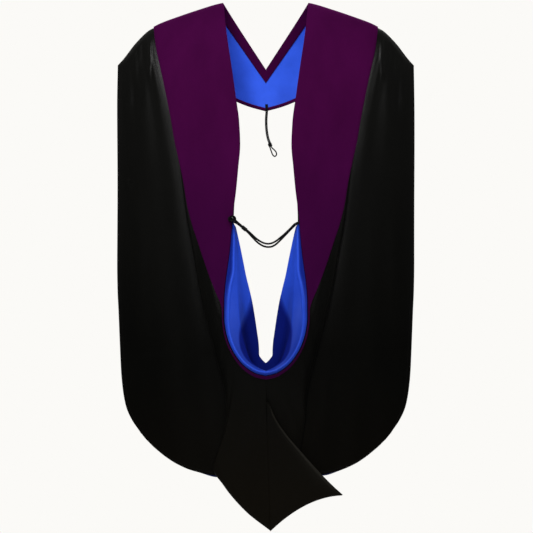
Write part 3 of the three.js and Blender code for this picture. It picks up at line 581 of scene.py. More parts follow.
# Columns: the velvet's inner edge (x, drop) as shares of the neck's half width and the cowl's length; its
# outer edge, later the cowl's side fold (x, drop) as shares of the shoulders' half width and the cowl's
# length; share of the tail's length added to that drop; share covered by velvet; lift of the rim and of the
# side; how suddenly the cloth falls off the rim; bow towards the centre; share turned under.
sections = (
    (1, 0, 1, 0, 0, 1, 0, 0, 0, 0, 0.25),
    (0.985, 0.018, 0.993, 0.02, 0, 1, 0, 0, 0, 0, 0.25),
    (0.953, 0.054, 0.975, 0.062, 0, 1, 0, 0, 0, 0, 0.25),
    (0.904, 0.097, 0.942, 0.112, 0, 1, 0, 0, 0, 0, 0.25),
    (0.817, 0.162, 0.894, 0.185, 0, 1, 0, 0, 0, 0, 0.25),
    (0.709, 0.248, 0.846, 0.264, 0, 1, 0, 0, 0, 0, 0.25),
    (0.628, 0.317, 0.809, 0.333, 0, 1, 0, 0, 0, 0, 0.25),
    (0.604, 0.379, 0.772, 0.385, 0, 1, 0.03, 0.2, 0, 0, 0.25),
    (0.648, 0.441, 0.733, 0.447, 0, 0.995, 0.09, 0.6, 0, 0, 0.25),
    (0.701, 0.505, 0.706, 0.508, 0, 0.985, 0.14, 0.8, 0, 0, 0.25),
    (0.772, 0.567, 0.675, 0.566, 0, 0.95, 0.2, 1, 0, 0, 0.25),
    (0.817, 0.623, 0.643, 0.619, 0, 0.878, 0.28, 1, 0, 0, 0.25),
    (0.859, 0.672, 0.615, 0.67, 0, 0.78, 0.37, 1, 0, 0, 0.25),
    (0.911, 0.715, 0.59, 0.718, 0, 0.64, 0.46, 1, 0, 0, 0.25),
    (0.958, 0.758, 0.554, 0.774, 0, 0.43, 0.55, 1, 0, 0, 0.25),
    (0.981, 0.801, 0.509, 0.843, 0, 0.15, 0.63, 1, 0, 0, 0.25),
    (0.981, 0.844, 0.459, 0.907, 0, 0, 0.71, 1, 0.05, 0, 0.25),
    (0.946, 0.878, 0.41, 0.972, 0, 0, 0.77, 1.1, 0.15, 0, 0.22),
    (0.883, 0.905, 0.355, 1, 0.118, 0, 0.83, 1.3, 0.3, 0.02, 0.2),
    (0.803, 0.927, 0.347, 1, 0.271, 0, 0.88, 1.4, 0.45, 0.05, 0.22),
    (0.7, 0.947, 0.413, 1, 0.47, 0, 0.92, 1.3, 0.6, 0.09, 0.48),
    (0.57, 0.966, 0.47, 1, 0.574, 0, 0.95, 1.3, 0.72, 0.1, 0.6),
    (0.406, 0.982, 0.38, 1, 0.703, 0, 0.98, 1.4, 0.85, 0.05, 0.7),
    (0.218, 0.994, 0.197, 1, 0.868, 0, 1, 1.5, 0.95, 0, 0.77),
    (0, 1, 0, 1, 0.985, 0, 1, 1.6, 1, 0, 0.82),
)
(rim_x, rim_down, side_x, side_down, tail_down, band, rim_lift, side_lift, fall, bow, tuck) = (
    curve(column) for column in zip(*sections)
)
last = len(sections) - 1
cowl_length = 0.864
slit_length = 0.834
tail_length = 0.355

# Columns: section beside it, x and drop of the back opening's edge as shares of the neck's half width and the
# opening's length, and how far the pouch dips there.
slit = (
    (10, 0.733, 0.604, 0),
    (11, 0.625, 0.66, 0),
    (12, 0.538, 0.71, 0),
    (13, 0.462, 0.756, 0),
    (14, 0.38, 0.796, 0.02),
    (15, 0.315, 0.83, 0.06),
    (16, 0.263, 0.866, 0.12),
    (17, 0.223, 0.897, 0.2),
    (18, 0.192, 0.922, 0.3),
    (19, 0.169, 0.941, 0.42),
    (20, 0.157, 0.96, 0.55),
    (21, 0.153, 0.977, 0.68),
    (22, 0.106, 0.987, 0.82),
    (23, 0.054, 0.994, 0.95),
    (24, 0, 1, 1),
)
inner_edge = curve(
    [neck_half * row[0] for row in sections[:10]] + [neck_half * row[1] for row in slit],
    [cowl_length * row[1] for row in sections[:10]] + [slit_length * row[2] for row in slit],
)
covered_edge = curve(
    [shoulder_half * row[2] for row in sections[:19]],
    [cowl_length * row[3] + tail_length * row[4] for row in sections[:19]],
)
cape_length = -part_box("cape_shell_left")[0].z
cape_rows = []
for row in sections[:7]:
    widening = (cape_half - neck_half * row[0]) / (shoulder_half * row[2] - neck_half * row[0])
    inner = cowl_length * row[1]
    cape_rows.append((inner, inner + (cowl_length * row[3] - inner) * widening, 1, 0))
cape_from = cape_rows[-1]
corner_length = 0.918
# Columns: share of the way down to the hem; reach, from the corner's width to the full width; share of sag
for down, reach, sag in (
    (0.12, 1, 0),
    (0.25, 1, 0),
    (0.36, 0.98, 0.05),
    (0.44, 0.94, 0.1),
    (0.54, 0.895, 0.2),
    (0.665, 0.835, 0.35),
    (0.695, 0.815, 0.4),
    (0.76, 0.748, 0.5),
    (0.83, 0.63, 0.65),
    (0.915, 0.37, 0.83),
    (1, 0, 1),
):
    inner, side = mix(cape_from[0], cape_length, down), mix(cape_from[1], corner_length, down)
    cape_rows.append((inner, side, reach, sag))
flute_height = curve([0, 5, -4, 4, -4, 2, 0], [0, 0.14, 0.3, 0.48, 0.66, 0.84, 1])
cape_corner = 0.290
hem_sag = 0.070
hem_shape = curve(
    [0, 0.47, 0.765, 0.875, 0.935, 0.955, 0.9, 0.765, 0.505, 0.31, 0],
    [0, 0.2, 0.32, 0.4, 0.5, 0.6, 0.7, 0.8, 0.9, 0.95, 1],
)


def waves(a, b, length, seed):
    """Slow, uneven waves over a sheet, about one high."""
    chance = np.random.default_rng(seed)
    total = 0
    for _ in range(6):
        angle, phase, speed = chance.uniform(0, 6.28), chance.uniform(0, 6.28), chance.uniform(0.6, 1.5)
        total = total + np.sin((a * np.cos(angle) + b * np.sin(angle)) * 6.28 * speed / length + phase)
    return total / 3


def crease(points, start, end, width, depth):
    """Height of a soft fold along a line on the back, tapering at both ends; points in X and Z."""
    a, b = np.array(start), np.array(end)
    flat = points[..., [0, 2]] - a
    run = (flat @ (b - a)) / ((b - a) @ (b - a))
    off = np.linalg.norm(flat - np.clip(run, 0, 1)[..., None] * (b - a), axis=-1)
    return depth * np.exp(-((off / width) ** 2)) * ease(run / 0.3) * ease((1 - run) / 0.3)


# Folds of each side of the cape: start and end in X and Z, width and height
cape_folds = {
    -1: (
        ((-0.285, -0.08), (-0.306, -0.27), 0.013, -0.0045),
        ((-0.268, -0.065), (-0.271, -0.18), 0.0035, 0.003),
        ((-0.332, -0.14), (-0.279, -0.074), 0.006, 0.0022),
        ((-0.325, -0.408), (-0.3, -0.425), 0.007, -0.003),
        ((-0.3, -0.4), (-0.29, -0.9), 0.022, 0.0018),
    ),
    1: (
        ((0.286, -0.08), (0.308, -0.27), 0.013, -0.004),
        ((0.268, -0.065), (0.271, -0.18), 0.0035, 0.0025),
        ((0.332, -0.14), (0.28, -0.075), 0.006, 0.002),
        ((0.295, -0.42), (0.3, -0.9), 0.022, 0.0018),
    ),
}


# How high the flutes stand, the gathers below the seam, the lift beside the velvet, the slow unevenness
# and the waves of the hem
flute_rise, gather_rise, velvet_lift, slow_rise, hem_rise = 0.0003, 0.00035, 0.0026, 0.0006, 0.0007
gather_count = 8
seam_gap, opening_gap = 0.0003, 0.002


def cape_grid(hand, raised, longer):
    """One layer of the cape. longer is how far its hem hangs below the other's beside the tail."""
    where = np.linspace(0, len(cape_rows) - 1, 190)
    inner_drop, side_drop, reach, sag = (curve(column)(where)[:, None] for column in zip(*cape_rows))
    inner_x = np.where(inner_drop > slit_length, seam_gap, inner_edge(inner_drop) + opening_gap)
    covered_x = covered_edge(side_drop)
    full_x = mix(cape_corner, cape_half, reach)
    across = np.linspace(0, 2, 100)[None, :]
    x = np.where(across < 1, mix(inner_x, covered_x, across), mix(covered_x, full_x, across - 1))
    share = (x - inner_x) / (full_x - inner_x)
    drop = mix(inner_drop, side_drop, share) + hem_sag * sag * hem_shape(share)
    beside_tail = np.exp(-(((x - 0.132 - 0.012 * hand) / 0.022) ** 2))
    drop = drop + longer * ease((drop - 0.95) / 0.1) * beside_tail
    out = np.clip(across - 1, 0, 1)
    fade = ease(drop / 0.06) * (0.2 + 0.8 * ease(1 - drop / 0.42))
    flutes = flute_rise * flute_height(out) * fade
    gathers = gather_rise * np.sin(2 * math.pi * gather_count * out**0.7) * ease(out / 0.1)
    gathers = gathers * ease(1 - drop / 0.24) * ease(drop / 0.03)
    beside = (x - covered_x) / 0.02
    lifted = velvet_lift * beside * np.exp(1 - np.maximum(beside, 0)) * (beside > 0)
    lifted = lifted * ease(drop / 0.12) * ease(3.2 - drop / 0.25)
    slow = slow_rise * waves(x * 1.6, drop * 0.35, 0.16, 3 + hand) * ease(out / 0.15) * ease(drop / 0.1)
    hem = hem_rise * waves(x, drop * 0.4, 0.11, 9 + hand) * ease((drop - 0.75) / 0.3) * ease(out / 0.1)
    grid = as_worn(hand * x, drop, -1, raised + flutes + gathers + lifted + slow + hem)
    for start, end, width, depth in cape_folds[hand]:
        grid[..., 1] -= crease(grid, start, end, width, depth)
    return grid


def stitch_tree():
    """Geometry nodes that set short rounded stitches, an even step apart, along a line of mesh edges."""
    tree = bpy.data.node_groups.new("stitches", "GeometryNodeTree")
    for name, kind in (
        ("Line", "NodeSocketGeometry"),
        ("Step", "NodeSocketFloat"),
        ("Size", "NodeSocketVector"),
        ("Unevenness", "NodeSocketFloat"),
        ("Thread", "NodeSocketMaterial"),
    ):
        tree.interface.new_socket(name, in_out="INPUT", socket_type=kind)
    tree.interface.new_socket("Stitches", in_out="OUTPUT", socket_type="NodeSocketGeometry")
    given = tree.nodes.new("NodeGroupInput").outputs
    line = add_node(tree, "GeometryNodeMeshToCurve", {"Mesh": given["Line"]})
    spaced = add_node(
        tree,
        "GeometryNodeResampleCurve",
        {"Curve": line.outputs["Curve"], "Length": given["Step"]},
        mode="LENGTH",
    )
    stitch = add_node(tree, "GeometryNodeMeshUVSphere", {"Segments": 8, "Rings": 6, "Radius": 1.0})
    tangent = add_node(tree, "GeometryNodeInputTangent")
    turn = add_node(
        tree, "FunctionNodeAlignRotationToVector", {"Vector": tangent.outputs["Tangent"]}, axis="Z"
    )
    least = add_node(tree, "ShaderNodeMath", {0: 1.0, 1: given["Unevenness"]}, operation="SUBTRACT")
    most = add_node(tree, "ShaderNodeMath", {0: 1.0, 1: given["Unevenness"]}, operation="ADD")
    chance = add_node(tree, "FunctionNodeRandomValue", data_type="FLOAT")
    for socket, value in ((2, least), (3, most)):
        tree.links.new(value.outputs[0], chance.inputs[socket])
    chance.inputs["Seed"].default_value = 7
    size = add_node(
        tree, "ShaderNodeVectorMath", {0: given["Size"], "Scale": chance.outputs[1]}, operation="SCALE"
    )
    placed = add_node(
        tree,
        "GeometryNodeInstanceOnPoints",
        {
            "Points": spaced.outputs["Curve"],
            "Instance": stitch.outputs["Mesh"],
            "Rotation": turn.outputs["Rotation"],
            "Scale": size.outputs["Vector"],
        },
    )
    real = add_node(tree, "GeometryNodeRealizeInstances", {"Geometry": placed.outputs["Instances"]})
    dyed = add_node(
        tree, "GeometryNodeSetMaterial", {"Geometry": real.outputs["Geometry"], "Material": given["Thread"]}
    )
    tree.links.new(dyed.outputs["Geometry"], tree.nodes.new("NodeGroupOutput").inputs["Stitches"])
    return tree


stitch_nodes = stitch_tree()
stitch_sockets = {item.name: item.identifier for item in stitch_nodes.interface.items_tree}


def stitched(name, line):
    """A row of stitches along a line on the face of the black cloth."""
    mesh = bpy.data.meshes.new(name)
    mesh.from_pydata([tuple(point) for point in line], [(k, k + 1) for k in range(len(line) - 1)], [])
    guide = add_object(name + "_line", mesh)
    modifier = guide.modifiers.new("stitches", "NODES")
    modifier.node_group = stitch_nodes
    values = {"Step": 0.0046, "Size": (0.00034, 0.00034, 0.0017), "Unevenness": 0.12, "Thread": cord_material}
    for label, value in values.items():
        modifier[stitch_sockets[label]] = value
    made = guide.evaluated_get(bpy.context.evaluated_depsgraph_get())
    sewn = add_object(name, bpy.data.meshes.new_from_object(made))
    bpy.data.objects.remove(guide)
    sewn.data.shade_smooth()
    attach(sewn, "root")
    return sewn


def on_face(grid, thickness):
    """The grid moved out to the face of the cloth that looks to the back."""
    normal = unit(np.cross(unit(np.gradient(grid, axis=0)), unit(np.gradient(grid, axis=1))))
    return grid - normal * np.sign(normal[..., 1:2]) * thickness / 2


def rolled(edge, inside, radius):
    """Columns of a half round that turns the cloth under at an edge; inside is the point before the edge."""
    away = unit((edge - inside) * [1, 0, 1])
    radius = np.broadcast_to(radius, len(edge))[:, None]
    return np.stack(
        [
            edge + away * radius * math.sin(math.pi * t) + radius * (1 - math.cos(math.pi * t)) * [0, 1, 0]
            for t in np.linspace(0, 1, 9)[1:-1]
        ],
        axis=1,
    )


BACKWARDS = (0, -1, 0)
satin_thickness, cloth_thickness = 0.001, 0.0012
lining_at, cape_at = 0.0005, 0.0024
lining_shows = 0.003
for hand, side in ((-1, "left"), (1, "right")):
    for label, raised, longer, thickness, material, slot in (
        ("cape_lining", lining_at, lining_shows, satin_thickness, blue_satin, "satin"),
        ("cape_shell", cape_at, 0, cloth_thickness, black_cloth, "black_cloth"),
    ):
        grid = cape_grid(hand, raised, longer)
        panel = cloth(f"{label}_panel_{side}", grid, thickness, material, BACKWARDS)
        face = on_face(grid, thickness)
        hem = np.concatenate([face[-2, 2:-3], face[-2:12:-1, -3]])
        sewn = [] if label == "cape_lining" else [stitched(f"hem_stitches_{side}", hem)]
        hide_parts(f"{label}_{side}")
        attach(panel, "root")


# Cowl. The outer cloth runs from the velvet edge, over a soft roll at the side and back underneath; below the
# opening its two halves meet in a centre seam and taper into the tail. The lining is cut from satin and turns
# from the rim down into the pouch and up to the back opening.
cowl_at = 0.005
cowl_opening = 0.060
fold_height = 0.010
pouch_depth = 0.055
tail_swing = 0.010
tail_hollow = 0.010
# The sections where the outer cloth and the lining start
cowl_from, lining_from = 7, 10.3
# The right half's last sections: section, side_x, tail_down and bow, narrowing beneath the tail's fold
right_foot = (
    (19, 0.347, 0.271, 0.05),
    (20, 0.318, 0.41, 0.04),
    (21, 0.272, 0.535, 0.02),
    (22, 0.212, 0.67, 0),
    (23, 0.13, 0.81, 0),
    (24, 0, 0.95, 0),
)
right_at = [row[0] for row in right_foot]
right_side_x, right_tail_down, right_bow = (
    curve([row[k] for row in right_foot], right_at) for k in (1, 2, 3)
)


def sunk(drop):
    """How far the right half has sunk beneath the tail's fold."""
    return tail_hollow * ease(((drop - cowl_length) / tail_length - 0.02) / 0.32)


def wall(hand, section, across, raised=0.0):
    """The cowl's outer wall, raised by a distance: rows are sections, across runs from rim to side."""
    section, across = np.asarray(section, float)[:, None], np.asarray(across, float)
    if across.ndim == 1:
        across = across[None, :]
    right = (hand > 0) & (section > right_at[0])
    foot_x = np.where(right, right_side_x(section), side_x(section))
    foot_down = np.where(right, right_tail_down(section), tail_down(section))
    foot_bow = np.where(right, right_bow(section), bow(section))
    rim_drop = cowl_length * rim_down(section)
    side_drop = cowl_length * side_down(section) + tail_length * foot_down
    drop = mix(rim_drop, side_drop, across)
    swing = tail_swing * ease((section - 18) / 6) * np.maximum(0, drop - cowl_length) / tail_length
    inward = neck_half * foot_bow * 4 * across * (1 - across)
    x = hand * (mix(neck_half * rim_x(section), shoulder_half * foot_x, across) - inward) + swing
    steep = fall(section)
    shape = (1 - steep) * (1 - across**2) + steep * (1 - across) ** 3
    low = fold_height * side_lift(section)
    lift = mix(low, cowl_opening * rim_lift(section), shape) - (sunk(drop) if hand > 0 else 0)
    laid = ease((section - 6) / 2)
    grid = as_worn(x, drop, -1, mix(cape_at, cowl_at, laid) + 0 * across)
    grid[..., 1] -= np.maximum(0, lift) * laid
    if np.ndim(raised) == 0 and raised == 0:
        return grid
    down, over = np.gradient(grid, axis=0), np.gradient(grid, axis=1)
    down[0] = BACKWARDS
    return grid + unit(np.cross(unit(down), unit(over))) * hand * np.asarray(raised)[..., None]


def floor_under(points):
    """The same points, laid on the cape behind them."""
    x, z = points[..., 0], points[..., 2]
    laid = points.copy()
    laid[..., 1] = as_worn(x, shoulder_line(x) - z, -1, cowl_at)[..., 1]
    return laid


# Painted shade: the cowl's satin is a darker copy of the blue satin, and by the mark it darkens further and
# loses gloss inside the pouch, where shade falls.
pouch_satin, tree, shader = satin("pouch_satin", (0.0165, 0.06, 0.53), (0.021, 0.073, 0.615))
depth = add_node(tree, "ShaderNodeAttribute", attribute_name="mark").outputs["Fac"]
painted_shade_colour = ramp(
    tree,
    depth,
    (0, (1, 1, 1)),
    (0.14, (0.8, 0.8, 0.82)),
    (0.34, (0.5, 0.5, 0.56)),
    (0.66, (0.3, 0.25, 0.37)),
    (1, (0.16, 0.11, 0.21)),
)
lay_colour_over(tree, shader, 1.0, painted_shade_colour, "MULTIPLY")
for socket, outside, inside in (("Specular IOR Level", 0.2, 0.02), ("Sheen Weight", 0.04, 0.0)):
    tree.links.new(share_between(tree, depth, 0.0, 1.0, outside, inside), shader.inputs[socket])

# Folds of each side of the cowl: start and end in X and Z, width and height
cowl_folds = {
    -1: (
        ((-0.02, -0.9), (-0.105, -1.09), 0.02, 0.0022),
        ((-0.004, -0.93), (-0.03, -1.17), 0.012, -0.0025),
        ((-0.09, -0.8), (-0.1, -1.03), 0.01, 0.003),
        ((-0.135, -0.62), (-0.108, -0.755), 0.01, 0.006),
    ),
    1: (
        ((0.09, -0.8), (0.098, -1.0), 0.01, 0.003),
        ((0.03, -0.89), (0.075, -1.0), 0.011, 0.003),
        ((0.135, -0.62), (0.108, -0.755), 0.01, 0.0055),
    ),
}
ridge_height, ridge_width = 0.0016, 0.0022
lining_gap, opening_seam = 0.002, 0.0002
for hand, side in ((-1, "left"), (1, "right")):
    # Near its top the outer cloth starts a little way in beneath the velvet's edge
    section = np.linspace(cowl_from, last, 240)
    inset = 0.02 * (1 - ease((section - 9.5) / 1.5))[:, None]
    columns = np.concatenate([np.linspace(0, 0.3, 18)[:-1], np.linspace(0.3, 1, 34)])
    outer = wall(hand, section, inset + (1 - inset) * columns[None, :])
    for start, end, width, depth in cowl_folds[hand]:
        outer[..., 1] -= crease(outer, start, end, width, depth)
    edge = outer[:, -1]
    roll = rolled(edge, outer[:, -2], (floor_under(edge)[:, 1] - edge[:, 1]) / 2)
    inward = 1 - np.linspace(0, 1, 10)[None, :] * tuck(section)[:, None]
    turned = floor_under(wall(hand, section, inward))
    grid = np.concatenate([outer, roll, turned], axis=1)
    shell = cloth(f"cowl_{side}", grid, cloth_thickness, black_cloth, None, (-hand, 0, 0))
    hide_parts(f"cowl_shell_{side}")
    area = 0.13 if hand < 0 else 0.11
    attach(shell, "root")

    at = np.linspace(lining_from, last, 150)
    slit_at = [row[0] for row in slit]
    slit_x, slit_down, pouch = (curve([row[k] for row in slit], slit_at)(at) for k in (1, 2, 3))
    rim = wall(hand, at, [0])[:, 0]
    lip = as_worn(hand * (neck_half * slit_x + opening_seam), slit_length * slit_down, -1, cowl_at)
    rim = rim + unit((lip - rim) * [1, 0, 1]) * lining_gap
    way = np.linspace(0, 1, 90)
    stations = [0, 0.22, 0.48, 0.58, 0.65, 0.74, 0.86, 1]
    rounded = curve([0, -0.05, 0.02, 0.3, 0.58, 0.82, 0.95, 1], stations)(way)
    depth = mix(way[None], rounded[None], 0.25 + 0.75 * ease((at[:, None] - 13) / 4))
    dip = curve([0, 0, 0.05, 0.55, 0.95, 1, 0.6, 0], stations)(way)
    grid = np.stack(
        [
            mix(rim[:, None, 0], lip[:, None, 0], way[None]),
            mix(rim[:, None, 1], lip[:, None, 1], depth),
            mix(rim[:, None, 2], lip[:, None, 2], way[None]) - pouch_depth * pouch[:, None] * dip[None],
        ],
        axis=-1,
    )
    # Distances from the rim, by section: where the lining's soft ridge runs, and where the painted shade starts
    from_rim = np.linalg.norm((rim - lip)[:, None, ::2] * way[None, :, None], axis=2)
    crest = curve(
        [0.006, 0.011, 0.015, 0.012, 0.010, 0.0085, 0.0062, 0.0056, 0.0064, 0.0092],
        [10, 12, 13, 14, 15, 16, 18, 20, 23, 24],
    )
    shadow = curve(
        [0.2, 0.1, 0.06, 0.045, 0.032, 0.0185, 0.0125, 0.0105, 0.0115], [10, 12, 14, 15, 16, 18, 20, 22, 24]
    )
    beyond = from_rim - crest(at)[:, None]
    ridge = ridge_height * np.exp(-((beyond / ridge_width) ** 2))
    grid[..., 1] -= ridge * ease((last - at[:, None]) / 1.3)
    # Painted shade is deepest inside the pouch, less so between rim and ridge, and a little so on the slope
    # below
    edge_of_shadow = shadow(at)[:, None] * (1 + 0.11 * waves(at[:, None], from_rim * 40, 5, 4 + hand))
    deep = ease((from_rim - edge_of_shadow) / (0.55 * edge_of_shadow))
    shade = curve([0.8, 0.75, 0.6, 0.42, 0.36], [10, 13, 15, 17, 24])(at)[:, None]
    shaded = shade * ease((-0.001 - beyond) / curve([0.008, 0.008, 0.003], [10, 14, 18])(at)[:, None])
    level = mix(0.12, 0.44, ease((at[:, None] - 14) / 6)) * ease((beyond - 0.0008) / 0.002)
    # Painted shade: the right half's slope is a little darker, away from the light from the left
    level = np.minimum(level + 0.05 * (1 + hand) * ease((at[:, None] - 12) / 3), 0.5)
    mark = np.maximum(np.maximum(deep, shaded), level)
    lining = cloth(f"cowl_satin_{side}", grid, satin_thickness, pouch_satin, None, (-hand, 0, 0), mark)
    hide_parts(f"cowl_lining_{side}")
    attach(lining, "root")


# Tail. The right panel of the tail is twice the width of the left and is pressed back under itself, so its
# fold swings out to the right and throws a shadow on the cape. Its lower edge is a turned hem.
tail_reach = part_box("tail_fold")[1].x - 0.003
fold_radius = 0.0025
# Columns: drop of the centre seam, x and drop of the fold's edge, each as a share of the tail; bow of the
# row; how far the seam and the edge stand off the cowl
fold_rows = (
    (0.165, 0.025, 0.169, 0, 0.008, 0.009),
    (0.255, 0.105, 0.268, 0, 0.004, 0.011),
    (0.358, 0.235, 0.368, 0, 0.0005, 0.012),
    (0.479, 0.43, 0.482, 0, 0, 0.015),
    (0.622, 0.612, 0.584, 0, 0, 0.017),
    (0.762, 0.775, 0.671, 0.012, 0, 0.016),
    (0.896, 0.9, 0.732, 0.03, 0, 0.014),
    (1.012, 1, 0.777, 0.054, 0, 0.012),
)
row_at = np.linspace(0, len(fold_rows) - 1, 120)
seam_down, edge_x, edge_down, row_bow, seam_lift, edge_lift = (
    curve(column)(row_at) for column in zip(*fold_rows)
)
seam = wall(-1, [last], seam_down / sections[last][4])[0]
seam[:, 0] += 0.0004
seam_base = seam[:, 1].copy()
seam[:, 1] -= seam_lift
edge = as_worn(
    tail_reach * edge_x,
    cowl_length + tail_length * edge_down + shoulder_line(tail_reach * edge_x),
    -1,
    cowl_at,
)
edge[:, 1] = seam_base - edge_lift


def tail_layer(across, sunk_by):
    """One layer of the folded panel, sunk by a distance towards the cape."""
    across = np.asarray(across)[None, :, None]
    layer = seam[:, None] * (1 - across) + edge[:, None] * across
    arch = 4 * across[..., 0] * (1 - across[..., 0])
    layer[..., 2] += tail_length * row_bow[:, None] * arch
    pressed_ridge_and_painted_highlight = np.clip((across[..., 0] - 0.88) / 0.12, 0, 1)
    layer[..., 1] -= 0.0006 * arch - sunk_by + 0.0012 * np.sin(math.pi * pressed_ridge_and_painted_highlight)
    return layer


across = np.linspace(0, 1, 44)
upper = tail_layer(across, 0)
roll = rolled(edge, seam, fold_radius)
grid = np.concatenate([upper, roll, tail_layer(np.linspace(1, 0.1, 20), 2 * fold_radius)], axis=1)
# Painted highlight on the pressed edge: a bright line on the fold and a soft one beside it, on the upper
# layer and half of the roll
to_fold = 1 - across
line = np.exp(-((to_fold / 0.03) ** 2)) + 0.25 * np.exp(-((to_fold / 0.15) ** 2))
line = np.concatenate([np.minimum(line, 1), np.ones(3), np.zeros(24)])
pressed_ridge_and_painted_highlight = line * (ease(row_at / 0.8) * (1 - 0.75 * ease((row_at - 4.5) / 2.5)))[:, None]
tail = cloth("tail_panel", grid, cloth_thickness, black_cloth, mark=pressed_ridge_and_painted_highlight)
sewn = stitched("tail_hem_stitches", on_face(upper, cloth_thickness)[-3, 1:-1])
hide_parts("tail_fold")
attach(tail, "root")


# Velvet of the back. Each band is cut in one piece from shoulder to point, its edges turned under, and laid
# over the black cloth; below the point only a narrow piping of it follows the foot of the cowl.
velvet, tree, shader = nodes_for("purple_velvet")
shader.inputs["Roughness"].default_value = 0.9
shader.inputs["Specular IOR Level"].default_value = 0.02
shader.inputs["Sheen Weight"].default_value = 0.25
shader.inputs["Sheen Roughness"].default_value = 0.4
shader.inputs["Sheen Tint"].default_value = (0.5, 0.02, 0.42, 1)
mottled(tree, shader, (0.032, 0.0009, 0.026), (0.042, 0.0014, 0.034), 11, (1, 1, 0.5))
# Painted shade: the velvet darkens towards the bottom, where less of the light from above reaches
painted_shade_lower = share_between(tree, object_axis(tree, "Z"), -0.25, -0.8, 0, 0.75)
lay_colour_over(tree, shader, painted_shade_lower, (0.02, 0.0008, 0.0235, 1))
stroked = bump(tree, noise(tree, 45, 3), 0.12, 0.002)
pile = bump(tree, noise(tree, 1500, 2), 0.5, 0.0003, Normal=stroked)
tree.links.new(pile, shader.inputs["Normal"])

velvet_thickness = 0.002
velvet_over_shell = 0.0024
piping_width = 0.006
for hand, side in ((-1, "left"), (1, "right")):
    section = np.linspace(0, last, 300)
    ends = wall(hand, section, [0, 1])
    length = np.linalg.norm(ends[:, 0] - ends[:, 1], axis=1)
    covered = np.maximum(band(section), piping_width / length)
    grid = wall(hand, section, covered[:, None] * np.linspace(0, 1, 30)[None, :], velvet_over_shell)
    for start, end, width, depth in cowl_folds[hand]:
        grid[..., 1] -= crease(grid, start, end, width, depth)
    piece = cloth(f"velvet_{side}", grid, velvet_thickness, velvet, BACKWARDS, (-hand, 0, 0))
    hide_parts(f"back_velvet_{side}")
    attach(piece, "root")


# Front band. The same velvet crosses the chest in a V and is turned to the inside over both edges; satin
# faces its inner side between the turnings.
front_v, front_length = 0.150, 0.245
# Columns: share of the neckline; the lower edge's x as a share of the shoulders' half width; its drop as a
# share of the band's drop
front_rows = (
    (0, 0, 1),
    (0.13, 0.14, 0.96),
    (0.27, 0.29, 0.897),
    (0.42, 0.46, 0.8),
    (0.57, 0.62, 0.675),
    (0.71, 0.76, 0.52),
    (0.83, 0.88, 0.34),
    (0.92, 0.955, 0.165),
    (0.98, 0.99, 0.04),
    (1, 1, 0),
)
half_rows = 70
row_at = np.linspace(len(front_rows) - 1, 0, half_rows)
neck, low_x, low_down = (curve(column)(row_at) for column in zip(*front_rows))
neck, low_x, low_down = (np.concatenate([column, column[-2::-1]]) for column in (neck, low_x, low_down))
handed = np.concatenate([-np.ones(half_rows), np.ones(half_rows - 1)])
neck_x, neck_drop = neck_half * neck, front_v * (1 - neck)
edge_x, edge_drop = shoulder_half * low_x, front_length * low_down
length = np.hypot(edge_x - neck_x, edge_drop - neck_drop)[:, None]


def band_at(across, raised):
    """Points across the band, from the neckline to its lower edge."""
    x = handed[:, None] * mix(neck_x[:, None], edge_x[:, None], across)
    return as_worn(x, mix(neck_drop[:, None], edge_drop[:, None], across), 1, raised + 0 * x)


FORWARDS = (0, 1, 0)
turning_at, facing_at, velvet_at = 0.0002, 0.0025, 0.0048
foot_turning, facing_inset = 0.006, 0.0038
across_x, across_drop = (edge_x - neck_x)[:, None], (edge_drop - neck_drop)[:, None]
squareness = (across_x * front_v + across_drop * neck_half) / length / math.hypot(front_v, neck_half)
turning = mix(0.016, 0.0215, neck[:, None]) / squareness
radius = (velvet_at - turning_at) / 2
half_round = [
    (radius * (1 - math.sin(math.pi * t)), velvet_at - radius - radius * math.cos(math.pi * t))
    for t in np.linspace(0, 1, 9)[1:-1]
]
head = [(mix(turning, radius, t), turning_at) for t in (0, 0.25, 0.5, 0.75, 1)] + half_round
foot = half_round[::-1] + [(width, turning_at) for width in (radius, 0.004, foot_turning)]
columns = [band_at(width / length, raised) for width, raised in head]
columns += [band_at(mix(radius / length, 1 - radius / length, t), velvet_at) for t in np.linspace(0, 1, 24)]
columns += [band_at(1 - width / length, raised) for width, raised in foot]
band_grid = np.concatenate(columns, axis=1)
front = cloth("front_band", band_grid, velvet_thickness, velvet, FORWARDS, BACKWARDS)
inset = facing_inset / length
facing_grid = band_at(mix(inset, 1 - inset, np.linspace(0, 1, 30)[None, :]), facing_at)
facing = cloth("front_facing", facing_grid, satin_thickness, blue_satin, FORWARDS, BACKWARDS)
for piece, node, slot, flat, area in (
    (front, "front_velvet", "velvet", (0.64, 0.24), 0.1),
    (facing, "front_lining", "satin", (0.62, 0.2), 0.078),
):
    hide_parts(node)
    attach(piece, "root")


# Button. A turned, glossy black ball with a slightly flattened crown. Thread wound into a shank holds it to
# the left velvet, and the neck cord loops round that shank.
gloss, tree, shader = nodes_for("black_gloss")
shader.inputs["Base Color"].default_value = (0.0012, 0.0012, 0.0014, 1)
shader.inputs["Specular IOR Level"].default_value = 0.12
wear = share_between(tree, noise(tree, 260, 5), 0, 1, 0.02, 0.04)
tree.links.new(wear, shader.inputs["Roughness"])

